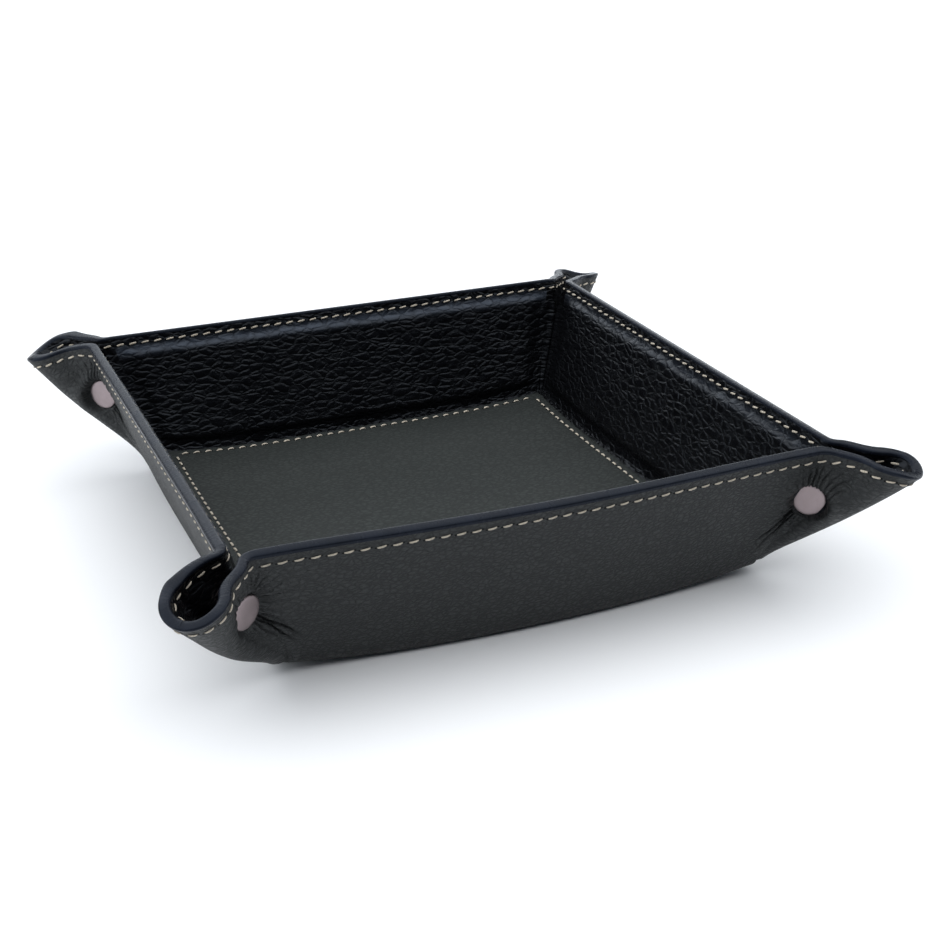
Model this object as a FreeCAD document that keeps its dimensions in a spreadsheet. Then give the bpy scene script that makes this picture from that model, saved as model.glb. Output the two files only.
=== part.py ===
import FreeCAD, Part
import math
import os

import Sketcher

# Valet tray of two leather sheets that open flat: four walls fold up from a square floor, and at each
# corner the sheet is pinched into a loop, an ear, whose two halves a snap fastener holds together.
# Millimetres, origin at the centre of the underside, +Z up, front wall towards -Y.

doc = FreeCAD.newDocument("valet_tray")

SIZES = {
    # Tray as a whole, measured on the outer leather
    "floor_width": 152.0,            # between the fold lines of two facing walls
    "wall_slant": 46.5,              # from the fold line to the top edge
    "wall_lean": 18.0,               # degrees from upright
    "fold_radius": 5.0,              # outside of the fold between floor and wall
    "corner_radius": 10.0,           # rounded corner of the flat sheet
    "fold_gap": 0.2,                 # between pieces on either side of a fold
    # Sheets
    "outer_leather": 1.5,
    "lining_leather": 1.5,
    "board_thickness": 1.2,          # stiffener between the two sheets
    "board_fit": 0.1,
    "bulge_run": 1.5,                # slope of the lining beside a board
    "wall_board_head": 8.5,          # from the top edge down to the wall board
    "wall_board_foot": 2.5,          # from the bottom fold up to the wall board
    "wall_board_end": 4.5,
    "floor_board_margin": 1.6,
    "pad_margin": 5.7,               # from the wall's fold line
    "pad_thickness": 1.5,
    "pad_corner": 2.0,
    # Pinched ears, drawn in sections square to the crease between wall and ear
    "ear_seam_gap": 0.3,             # between the two halves at the fold of the loop
    "ear_foot_gap": 0.1,             # each lining to the middle plane, at the floor corner
    "ear_snap_gap": 0.92,            # the same at the snap
    "ear_foot_station": 2.5,         # lowest section, along the crease from the floor corner
    "ear_spare": 4.0,                # highest section, above the corner of the flat sheet
    "bend_foot_radius": 1.8,         # wall to ear, at the glue line
    "bend_top_radius": 7.5,
    "loop_foot_radius": 1.7,
    "loop_snap_share": 0.346,        # radii as shares of the fold's reach
    "loop_top_share": 0.351,
    "flare_foot_radius": 3.0,
    "flare_snap_share": 0.456,
    "flare_top_share": 0.816,
    "fold_spread": 22.7,             # degrees between the crease and the fold of the loop
    "relief_half": 2.7,              # slit at the foot of the fold, so the halves pass each other
    "relief_top": 29.0,
    "relief_start": -3.2,
    # Round corners of the floor, below the ears
    "cup_inset": 1.3,
    "cup_angle": 55.0,
    # Snap fasteners
    "snap_station": 29.8,            # along the crease
    "snap_reach": 0.3,               # outwards from the crease
    "cap_diameter": 10.0,
    "cap_thickness": 1.2,
    "cap_edge": 0.45,
    "cap_sink": 0.7,
    "cap_fit": 0.15,
    "post_diameter": 3.4,
    "post_bore": 1.8,
    "post_fit": 0.05,
    "hole_fit": 0.1,
    "socket_diameter": 8.8,
    "socket_cup": 7.4,
    "socket_bore": 5.2,
    "socket_depth": 1.95,
    "socket_sink": 0.6,
    "plate_thickness": 0.5,
    "clinch_diameter": 4.6,
    "clinch_thickness": 0.3,
    "spring_groove": 0.5,
    "spring_wire": 0.42,
    "spring_opening": 40.0,          # degrees missing from the ring
    "stud_flange": 8.0,
    "stud_neck": 4.2,
    "stud_head": 4.5,
    "stud_crossing": 0.85,           # head past the middle plane
    "stud_crown": 0.4,
    "stud_land": 0.5,
    # Stitching
    "wall_stitch_inset": 3.6,
    "cutter_reach": 12.0,            # cutting tools run on past the leather
    "wall_stitch_pitch": 4.25,
    "pad_stitch_inset": 3.0,
    "pad_stitch_pitch": 4.0,
    "stitch_length": 3.2,
    "pad_stitch_length": 2.7,
    "thread_width": 0.8,
    "thread_rise": 0.35,
}

# Lengths and angles that follow from the sizes.
WORKED = {
    "half_floor": "Sizes.floor_width / 2",
    "fold_angle": "90 - Sizes.wall_lean",
    "fold_tangent": "Sizes.fold_radius * tan(Worked.fold_angle / 2)",
    "flat_half": "Worked.half_floor - Worked.fold_tangent - Sizes.fold_gap",
    "edge_thickness": "Sizes.outer_leather + Sizes.lining_leather",
    "pad_level": "Worked.edge_thickness + Sizes.board_thickness",
    "floor_board_half": "Worked.flat_half - Sizes.floor_board_margin",
    "bulge_taper": "-atan(Sizes.bulge_run / Sizes.board_thickness)",
    "crease_angle": "atan(sin(Sizes.wall_lean))",
    "crease_tilt": "atan(sqrt(2) * tan(Sizes.wall_lean))",
    "bend_angle": "acos(cos(Sizes.wall_lean) / sqrt(2))",
    "cup_axis": "Worked.flat_half - Sizes.cup_inset",
    "ear_top_station": "Sizes.wall_slant * sqrt(2) * cos(45 deg - Worked.crease_angle) + Sizes.ear_spare",
    "snap_share": "(Sizes.snap_station - Sizes.ear_foot_station)"
                  " / (Worked.ear_top_station - Sizes.ear_foot_station)",
    "foot_lining": "Sizes.ear_seam_gap / 2 + Sizes.ear_foot_gap",
    "lining_face": "Sizes.ear_seam_gap / 2 + Sizes.ear_snap_gap",
    "top_lining": "Worked.foot_lining + (Worked.lining_face - Worked.foot_lining) / Worked.snap_share",
    "outer_face": "Worked.lining_face + Worked.edge_thickness",
    "crease_lift": "Sizes.lining_leather + Sizes.outer_leather * cos(Worked.bend_angle)",
    "foot_inset": "(Worked.foot_lining + Worked.crease_lift) / sin(Worked.bend_angle)"
                  " + Sizes.bend_foot_radius * tan(Worked.bend_angle / 2)",
    "top_inset": "(Worked.top_lining + Worked.crease_lift) / sin(Worked.bend_angle)"
                 " + Sizes.bend_top_radius * tan(Worked.bend_angle / 2)",
    "snap_inset": "Worked.foot_inset + (Worked.top_inset - Worked.foot_inset) * Worked.snap_share",
    "bend_snap_radius": "(Worked.snap_inset - (Worked.lining_face + Worked.crease_lift)"
                        " / sin(Worked.bend_angle)) / tan(Worked.bend_angle / 2)",
    "foot_end_x": "Worked.foot_inset * cos(Worked.crease_angle)"
                  " - Sizes.ear_foot_station * sin(Worked.crease_angle)",
    "foot_end_y": "Worked.foot_inset * sin(Worked.crease_angle)"
                  " + Sizes.ear_foot_station * cos(Worked.crease_angle)",
    "top_end_x": "Worked.top_inset * cos(Worked.crease_angle)"
                 " - Worked.ear_top_station * sin(Worked.crease_angle)",
    "top_end_y": "Worked.top_inset * sin(Worked.crease_angle)"
                 " + Worked.ear_top_station * cos(Worked.crease_angle)",
    "end_slope": "(Worked.foot_end_x - Worked.top_end_x) / (Worked.top_end_y - Worked.foot_end_y)",
    "cap_seat": "Worked.outer_face - Sizes.cap_sink",
    "plate_back": "Worked.lining_face + Sizes.socket_sink",
    "plate_front": "Worked.plate_back - Sizes.plate_thickness",
    "socket_mouth": "Worked.plate_front - Sizes.socket_depth",
    "spring_level": "(Worked.plate_front + Worked.socket_mouth) / 2",
    "spring_ring": "Sizes.socket_bore / 2 + Sizes.spring_wire / 2",
}

WALLS = ("front", "right", "back", "left")
QUARTER_TURN = 90

sizes = doc.addObject("Spreadsheet::Sheet", "Sizes")
for row, (alias, value) in enumerate(SIZES.items(), start=1):
    sizes.set(f"A{row}", alias)
    sizes.set(f"B{row}", str(value))
    sizes.setAlias(f"B{row}", alias)
doc.recompute()

worked = doc.addObject("Spreadsheet::Sheet", "Worked")
for row, (alias, formula) in enumerate(WORKED.items(), start=1):
    worked.set(f"A{row}", alias)
    worked.set(f"B{row}", "=" + formula)
    worked.setAlias(f"B{row}", alias)
    doc.recompute()


def size(alias):
    """Number in a cell of either sheet, angles in degrees."""
    value = sizes.get(alias) if alias in SIZES else worked.get(alias)
    return float(getattr(value, "Value", value))


def sine(alias):
    return math.sin(math.radians(size(alias)))


def cosine(alias):
    return math.cos(math.radians(size(alias)))


nodes = []


def keep(node):
    nodes.append(node)
    return node


# Bodies, sketches and features

def new_body(label, own_node=True):
    body = doc.addObject("PartDesign::Body", label)
    return keep(body) if own_node else body


def new_sketch(body, name, plane="XY_Plane", shift=None):
    """Sketch on an origin plane of its body, moved by formulas for the offset's x, y and z."""
    sketch = body.newObject("Sketcher::SketchObject", f"{body.Label}_{name}")
    support = next(item for item in body.Origin.OriginFeatures if item.Role == plane)
    sketch.AttachmentSupport = (support, [""])
    sketch.MapMode = "FlatFace"
    for axis, formula in (shift or {}).items():
        sketch.setExpression(f"AttachmentOffset.Base.{axis}", formula)
    return sketch


def draw_outline(sketch, corners):
    """Closed outline through corners given as pairs of formulas."""
    points = [
        FreeCAD.Vector(float(sketch.evalExpression(x)), float(sketch.evalExpression(y)), 0) for x, y in corners
    ]
    count = len(points)
    for index in range(count):
        sketch.addGeometry(Part.LineSegment(points[index], points[(index + 1) % count]))
    for index in range(count):
        sketch.addConstraint(Sketcher.Constraint("Coincident", index, 2, (index + 1) % count, 1))
    for index, corner in enumerate(corners):
        for kind, formula, value in zip("XY", corner, points[index]):
            rule = sketch.addConstraint(Sketcher.Constraint("Distance" + kind, -1, 1, index, 1, value))
            name = f"corner{index}_{kind.lower()}"
            sketch.renameConstraint(rule, name)
            sketch.setExpression(f"Constraints.{name}", formula)
    return sketch


def add_pad(body, sketch, length, downwards=False, taper=None):
    pad = body.newObject("PartDesign::Pad", f"{sketch.Name}_pad")
    pad.Profile = sketch
    pad.setExpression("Length", length)
    pad.Reversed = downwards
    if taper:
        pad.setExpression("TaperAngle", taper)
    return pad


def add_pocket(body, sketch, length, upwards=False):
    pocket = body.newObject("PartDesign::Pocket", f"{sketch.Name}_pocket")
    pocket.Profile = sketch
    pocket.setExpression("Length", length)
    pocket.Reversed = upwards
    return pocket


def add_turn(body, sketch, axis, angle):
    turn = body.newObject("PartDesign::Revolution", f"{sketch.Name}_turn")
    turn.Profile = sketch
    turn.ReferenceAxis = (sketch, [axis])
    turn.setExpression("Angle", angle)
    return turn


def square(half):
    return [(f"-({half})", f"-({half})"), (half, f"-({half})"), (half, half), (f"-({half})", half)]


# Floor: outer sheet, board, lining and stitched pad

def corner_cups(inner, outer):
    """Round corners between two depths above the underside, cut off below the ears."""
    radius = size("fold_radius")
    start = size("flat_half") - size("cup_axis") + size("fold_gap")
    end = math.radians(size("cup_angle"))

    def on_cup(depth, angle):
        own = radius - depth
        return FreeCAD.Vector(start + own * math.sin(angle), 0, radius - own * math.cos(angle))

    profile = Part.Face(Part.Wire([
        Part.LineSegment(FreeCAD.Vector(0, 0, outer), on_cup(outer, 0)).toShape(),
        Part.Arc(on_cup(outer, 0), on_cup(outer, end / 2), on_cup(outer, end)).toShape(),
        Part.LineSegment(on_cup(outer, end), on_cup(inner, end)).toShape(),
        Part.Arc(on_cup(inner, end), on_cup(inner, end / 2), on_cup(inner, 0)).toShape(),
        Part.LineSegment(on_cup(inner, 0), FreeCAD.Vector(0, 0, inner)).toShape(),
        Part.LineSegment(FreeCAD.Vector(0, 0, inner), FreeCAD.Vector(0, 0, outer)).toShape(),
    ]))
    up = FreeCAD.Vector(0, 0, 1)
    profile.rotate(FreeCAD.Vector(), up, 2 * QUARTER_TURN)
    cup = profile.revolve(FreeCAD.Vector(), up, QUARTER_TURN)
    cup.translate(FreeCAD.Vector(-size("cup_axis"), -size("cup_axis"), 0))
    reach = size("floor_width")
    ear_room = Part.makeBox(reach, reach, reach, FreeCAD.Vector(-reach / 2, -reach / 2, 0))
    ear_room.translate(FreeCAD.Vector(0, 0, size("ear_foot_station") - size("fold_gap")))
    ear_room.Placement = ear_placement(0) * ear_room.Placement
    cup = cup.cut(ear_room)
    cups = []
    for turn in range(len(WALLS)):
        turned = cup.copy()
        turned.rotate(FreeCAD.Vector(), up, QUARTER_TURN * turn)
        cups.append(turned)
    return cups


def join_cups(label, sheet, inner, outer):
    """Sheet of the floor with its four round corners."""
    cups = doc.addObject("Part::Feature", f"{label}_corners")
    cups.Shape = Part.makeCompound(corner_cups(inner, outer))
    whole = keep(doc.addObject("Part::MultiFuse", label))
    whole.Shapes = [sheet, cups]
    whole.Refine = True


def make_floor_outer():
    sheet = new_body("floor_outer_sheet", own_node=False)
    outline = draw_outline(new_sketch(sheet, "outline"), square("Worked.flat_half"))
    add_pad(sheet, outline, "Sizes.outer_leather")
    join_cups("floor_outer_leather", sheet, size("outer_leather"), 0)


def make_floor_board():
    body = new_body("floor_board")
    outline = new_sketch(body, "outline", shift={"z": "Sizes.outer_leather"})
    add_pad(body, draw_outline(outline, square("Worked.floor_board_half")), "Sizes.board_thickness")


def make_floor_lining():
    """Sheet that lies on the outer leather round its rim and rises over the board."""
    body = new_body("floor_lining_sheet", own_node=False)
    sheet = new_sketch(body, "sheet", shift={"z": "Sizes.outer_leather"})
    add_pad(body, draw_outline(sheet, square("Worked.flat_half")), "Sizes.lining_leather")
    bulge = new_sketch(body, "bulge", shift={"z": "Worked.edge_thickness"})
    draw_outline(bulge, square("Worked.floor_board_half + Sizes.bulge_run"))
    add_pad(body, bulge, "Sizes.board_thickness", taper="Worked.bulge_taper")
    room = new_sketch(body, "room", shift={"z": "Sizes.outer_leather"})
    draw_outline(room, square("Worked.floor_board_half + Sizes.board_fit"))
    add_pocket(body, room, "Sizes.board_thickness", upwards=True)
    join_cups("floor_lining", body, size("edge_thickness"), size("outer_leather"))


def make_base_pad():
    body = new_body("base_pad")
    outline = new_sketch(body, "outline", shift={"z": "Worked.pad_level"})
    draw_outline(outline, square("Worked.half_floor - Sizes.pad_margin"))
    pad = add_pad(body, outline, "Sizes.pad_thickness")
    doc.recompute()
    uprights = [
        f"Edge{index}" for index, edge in enumerate(pad.Shape.Edges, start=1)
        if abs(edge.Vertexes[0].Z - edge.Vertexes[1].Z) > size("pad_thickness") / 2
    ]
    rounds = body.newObject("PartDesign::Fillet", "base_pad_rounds")
    rounds.Base = (pad, uprights)
    rounds.setExpression("Radius", "Sizes.pad_corner")


# Walls, drawn flat: x along the wall, y up its slant from the fold line, z outwards

def wall_placement(turn):
    stand = FreeCAD.Rotation(FreeCAD.Vector(1, 0, 0), QUARTER_TURN + size("wall_lean"))
    front = FreeCAD.Placement(FreeCAD.Vector(0, -size("half_floor"), 0), stand)
    about = FreeCAD.Rotation(FreeCAD.Vector(0, 0, 1), QUARTER_TURN * turn)
    return FreeCAD.Placement(FreeCAD.Vector(), about) * front


def wall_half_length(rise):
    """Formula for half the wall's length at a height up its slant: its ends run along the creases."""
    spread = f"(({rise}) - Worked.foot_end_y) * Worked.end_slope"
    return f"Worked.half_floor - Sizes.fold_gap - Worked.foot_end_x + {spread}"


def wall_outline(foot, head, inset="0"):
    low = f"{wall_half_length(foot)} - ({inset})"
    high = f"{wall_half_length(head)} - ({inset})"
    return [(f"-({low})", foot), (low, foot), (high, head), (f"-({high})", head)]


def board_outline(spare):
    """Outline of the wall board grown by a formula on every side."""
    foot = f"Worked.fold_tangent + Sizes.wall_board_foot - ({spare})"
    head = f"Sizes.wall_slant - Sizes.wall_board_head + ({spare})"
    return wall_outline(foot, head, f"Sizes.wall_board_end - ({spare})")


def add_fold(body, inner, outer):
    """Sheet between two depths below the outer face, rolled about the fold's axis down to the floor."""
    shift = {"y": "-Sizes.fold_radius", "z": "-Worked.fold_tangent"}
    sketch = new_sketch(body, "fold", plane="XZ_Plane", shift=shift)
    end = "Worked.cup_axis - Sizes.fold_gap"
    low = f"Sizes.fold_radius - {inner}"
    high = f"Sizes.fold_radius - {outer}"
    draw_outline(sketch, [(f"-({end})", low), (end, low), (end, high), (f"-({end})", high)])
    add_turn(body, sketch, "H_Axis", "Worked.fold_angle")


def make_wall_outer(wall, turn):
    body = new_body(f"{wall}_wall_outer_leather")
    sheet = draw_outline(new_sketch(body, "sheet"), wall_outline("Worked.fold_tangent", "Sizes.wall_slant"))
    add_pad(body, sheet, "Sizes.outer_leather", downwards=True)
    add_fold(body, "Sizes.outer_leather", "0")
    body.Placement = wall_placement(turn)


def make_wall_board(wall, turn):
    body = new_body(f"{wall}_wall_board")
    sheet = draw_outline(new_sketch(body, "sheet", shift={"z": "-Sizes.outer_leather"}), board_outline("0"))
    add_pad(body, sheet, "Sizes.board_thickness", downwards=True)
    body.Placement = wall_placement(turn)


def make_wall_lining(wall, turn):
    body = new_body(f"{wall}_wall_lining")
    sheet = new_sketch(body, "sheet", shift={"z": "-Sizes.outer_leather"})
    draw_outline(sheet, wall_outline("Worked.fold_tangent", "Sizes.wall_slant"))
    add_pad(body, sheet, "Sizes.lining_leather", downwards=True)
    add_fold(body, "Worked.edge_thickness", "Sizes.outer_leather")
    bulge = new_sketch(body, "bulge", shift={"z": "-Worked.edge_thickness"})
    draw_outline(bulge, board_outline("Sizes.bulge_run"))
    add_pad(body, bulge, "Sizes.board_thickness", downwards=True, taper="Worked.bulge_taper")
    room = new_sketch(body, "room", shift={"z": "-Sizes.outer_leather"})
    draw_outline(room, board_outline("Sizes.board_fit"))
    add_pocket(body, room, "Sizes.board_thickness")
    body.Placement = wall_placement(turn)


# Ears: x outwards from the crease, y across to the wall, z along the crease from the floor corner

def ear_placement(turn):
    """Frame of the ear at the front left corner, turned to another corner."""
    outwards = FreeCAD.Vector(-1, -1, 0) / math.sqrt(2)
    across = FreeCAD.Vector(1, -1, 0) / math.sqrt(2)
    up = FreeCAD.Vector(0, 0, 1)
    along = outwards * sine("crease_tilt") + up * cosine("crease_tilt")
    reach = outwards * cosine("crease_tilt") - up * sine("crease_tilt")
    corner = FreeCAD.Vector(-size("half_floor"), -size("half_floor"), 0)
    frame = FreeCAD.Placement(corner, FreeCAD.Rotation(reach, across, along, "XYZ"))
    return FreeCAD.Placement(FreeCAD.Vector(), FreeCAD.Rotation(up, QUARTER_TURN * turn)) * frame


def ear_stations():
    """Sections of the ear at its foot, snap and top.

    Each gives the station along the crease, the lining face's distance from the middle plane, the
    bend radius, the reach of the fold, and the loop and flare radii."""
    spread = math.tan(math.radians(size("fold_spread")))
    foot, snap, top = size("ear_foot_station"), size("snap_station"), size("ear_top_station")
    snap_reach = snap * spread - size("outer_leather")
    top_reach = top * spread - size("outer_leather")
    lining, bend_radius = size("foot_lining"), size("bend_foot_radius")
    loop, flare = size("loop_foot_radius"), size("flare_foot_radius")
    foot_reach = bend_end(lining, bend_radius) + loop_room(lining, loop, flare) + loop + size("fold_gap")
    return [
        (foot, lining, bend_radius, foot_reach, loop, flare),
        (snap, size("lining_face"), size("bend_snap_radius"), snap_reach,
         size("loop_snap_share") * snap_reach, size("flare_snap_share") * snap_reach),
        (top, size("top_lining"), size("bend_top_radius"), top_reach,
         size("loop_top_share") * top_reach, size("flare_top_share") * top_reach),
    ]


def crease_reach(lining):
    """Reach of the sharp crease at the glue line, below zero because the sheets have thickness."""
    inset = (lining + size("crease_lift")) / sine("bend_angle")
    return -size("outer_leather") * sine("bend_angle") - inset * cosine("bend_angle")


def bend_end(lining, bend_radius):
    return crease_reach(lining) + bend_radius * math.tan(math.radians(size("bend_angle")) / 2)


def loop_room(lining, loop, flare):
    """Distance along the ear between the centres of the flare and the loop, which touch."""
    rise = lining + size("lining_leather") - size("ear_seam_gap") / 2
    return math.sqrt((flare + loop) ** 2 - (flare + rise) ** 2)


def section_line(station, lining, bend_radius, reach, loop, flare, offset, side):
    """Edges of one face of a layer in a section: bend, flat, flare and loop, offset from the glue line."""
    glue = lining + size("lining_leather")
    seam = size("ear_seam_gap") / 2
    bend = math.radians(size("bend_angle"))
    flat_start = bend_end(lining, bend_radius)
    room = loop_room(lining, loop, flare)
    loop_centre = reach - loop
    flare_start = loop_centre - room
    flare_angle = math.asin(room / (flare + loop))

    def point(x, y):
        return FreeCAD.Vector(x, side * y, station)

    def on_valley(centre, radius, heading):
        """Point of a curve that turns away from the middle plane."""
        own = radius - offset
        return point(centre + own * math.sin(heading), glue + radius - own * math.cos(heading))

    def on_loop(heading):
        own = loop + offset
        return point(loop_centre - own * math.sin(heading), seam + own * math.cos(heading))

    corners = [
        on_valley(flat_start, bend_radius, -bend),
        on_valley(flat_start, bend_radius, 0),
        on_valley(flare_start, flare, 0),
        on_loop(flare_angle),
        on_loop(-math.pi / 2),
    ]
    return [
        Part.Arc(corners[0], on_valley(flat_start, bend_radius, -bend / 2), corners[1]).toShape(),
        Part.LineSegment(corners[1], corners[2]).toShape(),
        Part.Arc(corners[2], on_valley(flare_start, flare, flare_angle / 2), corners[3]).toShape(),
        Part.Arc(corners[3], on_loop(flare_angle / 2 - math.pi / 4), corners[4]).toShape(),
    ]


def ear_section(values, low, high, side):
    """Closed outline of a layer between two offsets from the glue line."""
    near = section_line(*values, low, side)
    far = section_line(*values, high, side)
    ends = [
        Part.LineSegment(near[-1].Vertexes[-1].Point, far[-1].Vertexes[-1].Point).toShape(),
        Part.LineSegment(far[0].Vertexes[0].Point, near[0].Vertexes[0].Point).toShape(),
    ]
    return Part.Wire([*near, ends[0], *reversed(far), ends[1]])


def above_top_edge():
    """Room above the ear's top edge, which runs on from the wall's and rounds down to the fold."""
    crease = math.radians(size("crease_angle"))
    slant = size("wall_slant")
    end_x = size("foot_end_x") - (slant - size("foot_end_y")) * size("end_slope")
    end_inset = end_x * math.cos(crease) + slant * math.sin(crease)
    start = FreeCAD.Vector(
        -size("outer_leather") * sine("bend_angle") - end_inset * cosine("bend_angle"), 0,
        slant * math.cos(crease) - end_x * math.sin(crease))
    ear_angle = math.radians(45) - crease
    sharp = FreeCAD.Vector(math.sin(ear_angle), 0, math.cos(ear_angle)) * slant * math.sqrt(2)
    slope = (sharp - start).normalize()
    rise = FreeCAD.Vector(-slope.z, 0, slope.x)
    snap, top = ear_stations()[1:]
    fold_foot = FreeCAD.Vector(snap[3] + size("outer_leather"), 0, snap[0])
    fold = (FreeCAD.Vector(top[3] + size("outer_leather"), 0, top[0]) - fold_foot).normalize()
    meeting = (start - fold_foot).dot(rise) / fold.dot(rise)
    radius = size("corner_radius")
    centre = fold_foot + fold * (meeting - radius / fold.dot(rise))
    rounding_start = centre + rise * radius
    rounding_end = centre + fold * radius
    halfway = centre + (rise + fold).normalize() * radius
    beyond = top[0]
    back = start - slope * beyond
    outline = Part.Wire([
        Part.LineSegment(back, rounding_start).toShape(),
        Part.Arc(rounding_start, halfway, rounding_end).toShape(),
        Part.LineSegment(rounding_end, rounding_end + fold * beyond).toShape(),
        Part.LineSegment(rounding_end + fold * beyond, back + rise * beyond * 2).toShape(),
        Part.LineSegment(back + rise * beyond * 2, back).toShape(),
    ])
    outline.translate(FreeCAD.Vector(0, -beyond, 0))
    return Part.Face(outline).extrude(FreeCAD.Vector(0, 2 * beyond, 0))


def foot_relief():
    """Room for the other half at the foot of the fold, where the two halves turn towards each other."""
    start, half = size("relief_start"), size("relief_half")
    outline = Part.makePolygon([
        FreeCAD.Vector(start, -half, 0),
        FreeCAD.Vector(start, half, 0),
        FreeCAD.Vector(start, 0, size("relief_top")),
        FreeCAD.Vector(start, -half, 0),
    ])
    return Part.Face(outline).extrude(FreeCAD.Vector(size("relief_top"), 0, 0))


def snap_cylinder(radius, low, high, side):
    """Cylinder on the snap's axis between two distances from the middle plane."""
    base = FreeCAD.Vector(size("snap_reach"), side * low, size("snap_station"))
    return Part.makeCylinder(radius, high - low, base, FreeCAD.Vector(0, side, 0))


def make_ear_layer(label, low, high, seat, turn, side):
    """Half an ear in one leather, with the snap's hole and seat."""
    layer = Part.makeLoft([ear_section(values, low, high, side) for values in ear_stations()], True, True)
    hole = snap_cylinder(size("post_diameter") / 2 + size("hole_fit"), 0, size("cutter_reach"), side)
    for tool in (above_top_edge(), foot_relief(), hole, seat):
        layer = layer.cut(tool)
    ear = keep(doc.addObject("Part::Feature", label))
    ear.Shape = layer
    ear.Placement = ear_placement(turn)


def make_ear_leathers(wall, end, turn, side):
    cap_seat = snap_cylinder(
        size("cap_diameter") / 2 + size("cap_fit"), size("cap_seat"), size("cutter_reach"), side)
    plate = "socket_diameter" if side > 0 else "stud_flange"
    plate_seat = snap_cylinder(size(plate) / 2 + size("cap_fit"), 0, size("plate_back"), side)
    name = f"{wall}_wall_{end}_ear"
    make_ear_layer(f"{name}_outer_leather", 0, size("outer_leather"), cap_seat, turn, side)
    make_ear_layer(f"{name}_lining", -size("lining_leather"), 0, plate_seat, turn, side)


# Snap fasteners, turned about an axis that runs outwards from the ear's middle plane

def snap_placement(turn, side):
    facing = FreeCAD.Rotation(FreeCAD.Vector(1, 0, 0), -QUARTER_TURN * side)
    place = FreeCAD.Placement(FreeCAD.Vector(size("snap_reach"), 0, size("snap_station")), facing)
    return ear_placement(turn) * place


def turn_snap_piece(label, outline, turn, side):
    body = new_body(label)
    sketch = draw_outline(new_sketch(body, "outline", plane="XZ_Plane"), outline)
    add_turn(body, sketch, "V_Axis", "360")
    body.Placement = snap_placement(turn, side)


CAP_RIM = "Sizes.cap_diameter / 2"
POST_RIM = "Sizes.post_diameter / 2"
POST_HOLE = "Sizes.post_bore / 2"
PLATE_HOLE = "Sizes.post_diameter / 2 + Sizes.post_fit"
CAP_TOP = "Worked.cap_seat + Sizes.cap_thickness"


def cap_outline(tail):
    """Cap with a rounded-off rim on a hollow post, whose tail is a list of corners down to its end."""
    return [
        ("0", CAP_TOP),
        ("0", "Worked.cap_seat"),
        (POST_HOLE, "Worked.cap_seat"),
        *tail,
        (POST_RIM, "Worked.cap_seat"),
        (CAP_RIM, "Worked.cap_seat"),
        (CAP_RIM, f"{CAP_TOP} - Sizes.cap_edge"),
        (f"{CAP_RIM} - Sizes.cap_edge", CAP_TOP),
    ]


def make_socket_side(wall, turn):
    """Cap and socket, with the post clinched over inside the socket and a ring spring in its groove."""
    name = f"{wall}_wall_left_ear"
    clinch_rim = "Sizes.clinch_diameter / 2"
    clinch_end = "Worked.plate_front - Sizes.clinch_thickness"
    tail = [
        (POST_HOLE, clinch_end),
        (clinch_rim, clinch_end),
        (clinch_rim, "Worked.plate_front"),
        (POST_RIM, "Worked.plate_front"),
    ]
    turn_snap_piece(f"{name}_snap_cap", cap_outline(tail), turn, 1)

    bore = "Sizes.socket_bore / 2"
    groove = f"{bore} + Sizes.spring_wire"
    groove_low = "Worked.spring_level - Sizes.spring_groove / 2"
    groove_high = "Worked.spring_level + Sizes.spring_groove / 2"
    turn_snap_piece(f"{name}_snap_socket", [
        (PLATE_HOLE, "Worked.plate_back"),
        (PLATE_HOLE, "Worked.plate_front"),
        (bore, "Worked.plate_front"),
        (bore, groove_high),
        (groove, groove_high),
        (groove, groove_low),
        (bore, groove_low),
        (bore, "Worked.socket_mouth"),
        ("Sizes.socket_cup / 2", "Worked.socket_mouth"),
        ("Sizes.socket_cup / 2", "Worked.plate_front"),
        ("Sizes.socket_diameter / 2", "Worked.plate_front"),
        ("Sizes.socket_diameter / 2", "Worked.plate_back"),
    ], turn, 1)

    spring = keep(doc.addObject("Part::Torus", f"{name}_snap_spring"))
    spring.setExpression("Radius1", "Worked.spring_ring")
    spring.setExpression("Radius2", "Sizes.spring_wire / 2")
    spring.setExpression("Angle3", "360 - Sizes.spring_opening")
    level = FreeCAD.Placement(FreeCAD.Vector(0, 0, size("spring_level")), FreeCAD.Rotation())
    spring.Placement = snap_placement(turn, 1) * level


def make_stud_side(wall, turn):
    """Post with a cap like the other side's, and a hollow stud closed over its end."""
    name = f"{wall}_wall_right_ear"
    head_end = "-Sizes.stud_crossing"
    room_end = f"{head_end} + Sizes.stud_crown"
    post_end = f"{room_end} + Sizes.post_fit"
    tail = [(POST_HOLE, post_end), (POST_RIM, post_end)]
    turn_snap_piece(f"{name}_snap_post", cap_outline(tail), turn, -1)

    head_rim = "Sizes.stud_head / 2"
    head_low = f"{head_end} + Sizes.stud_crown"
    neck_end = f"{head_low} + Sizes.stud_land"
    turn_snap_piece(f"{name}_snap_stud", [
        (PLATE_HOLE, "Worked.plate_back"),
        (PLATE_HOLE, room_end),
        ("0", room_end),
        ("0", head_end),
        (f"{head_rim} - Sizes.stud_crown", head_end),
        (head_rim, head_low),
        ("Sizes.stud_neck / 2", neck_end),
        ("Sizes.stud_neck / 2", "Worked.plate_front"),
        ("Sizes.stud_flange / 2", "Worked.plate_front"),
        ("Sizes.stud_flange / 2", "Worked.plate_back"),
    ], turn, -1)


# Stitching, one low bar for each visible stitch

def stitch_row(half_length, pitch, length):
    """Bars along x, centred, as many as fit between the ends."""
    count = int((2 * half_length - length) // pitch) + 1
    width = size("thread_width")
    first = -(count - 1) * pitch / 2 - length / 2
    corners = [FreeCAD.Vector(first + index * pitch, -width / 2, 0) for index in range(count)]
    return [Part.makeBox(length, width, size("thread_rise"), corner) for corner in corners]


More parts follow.
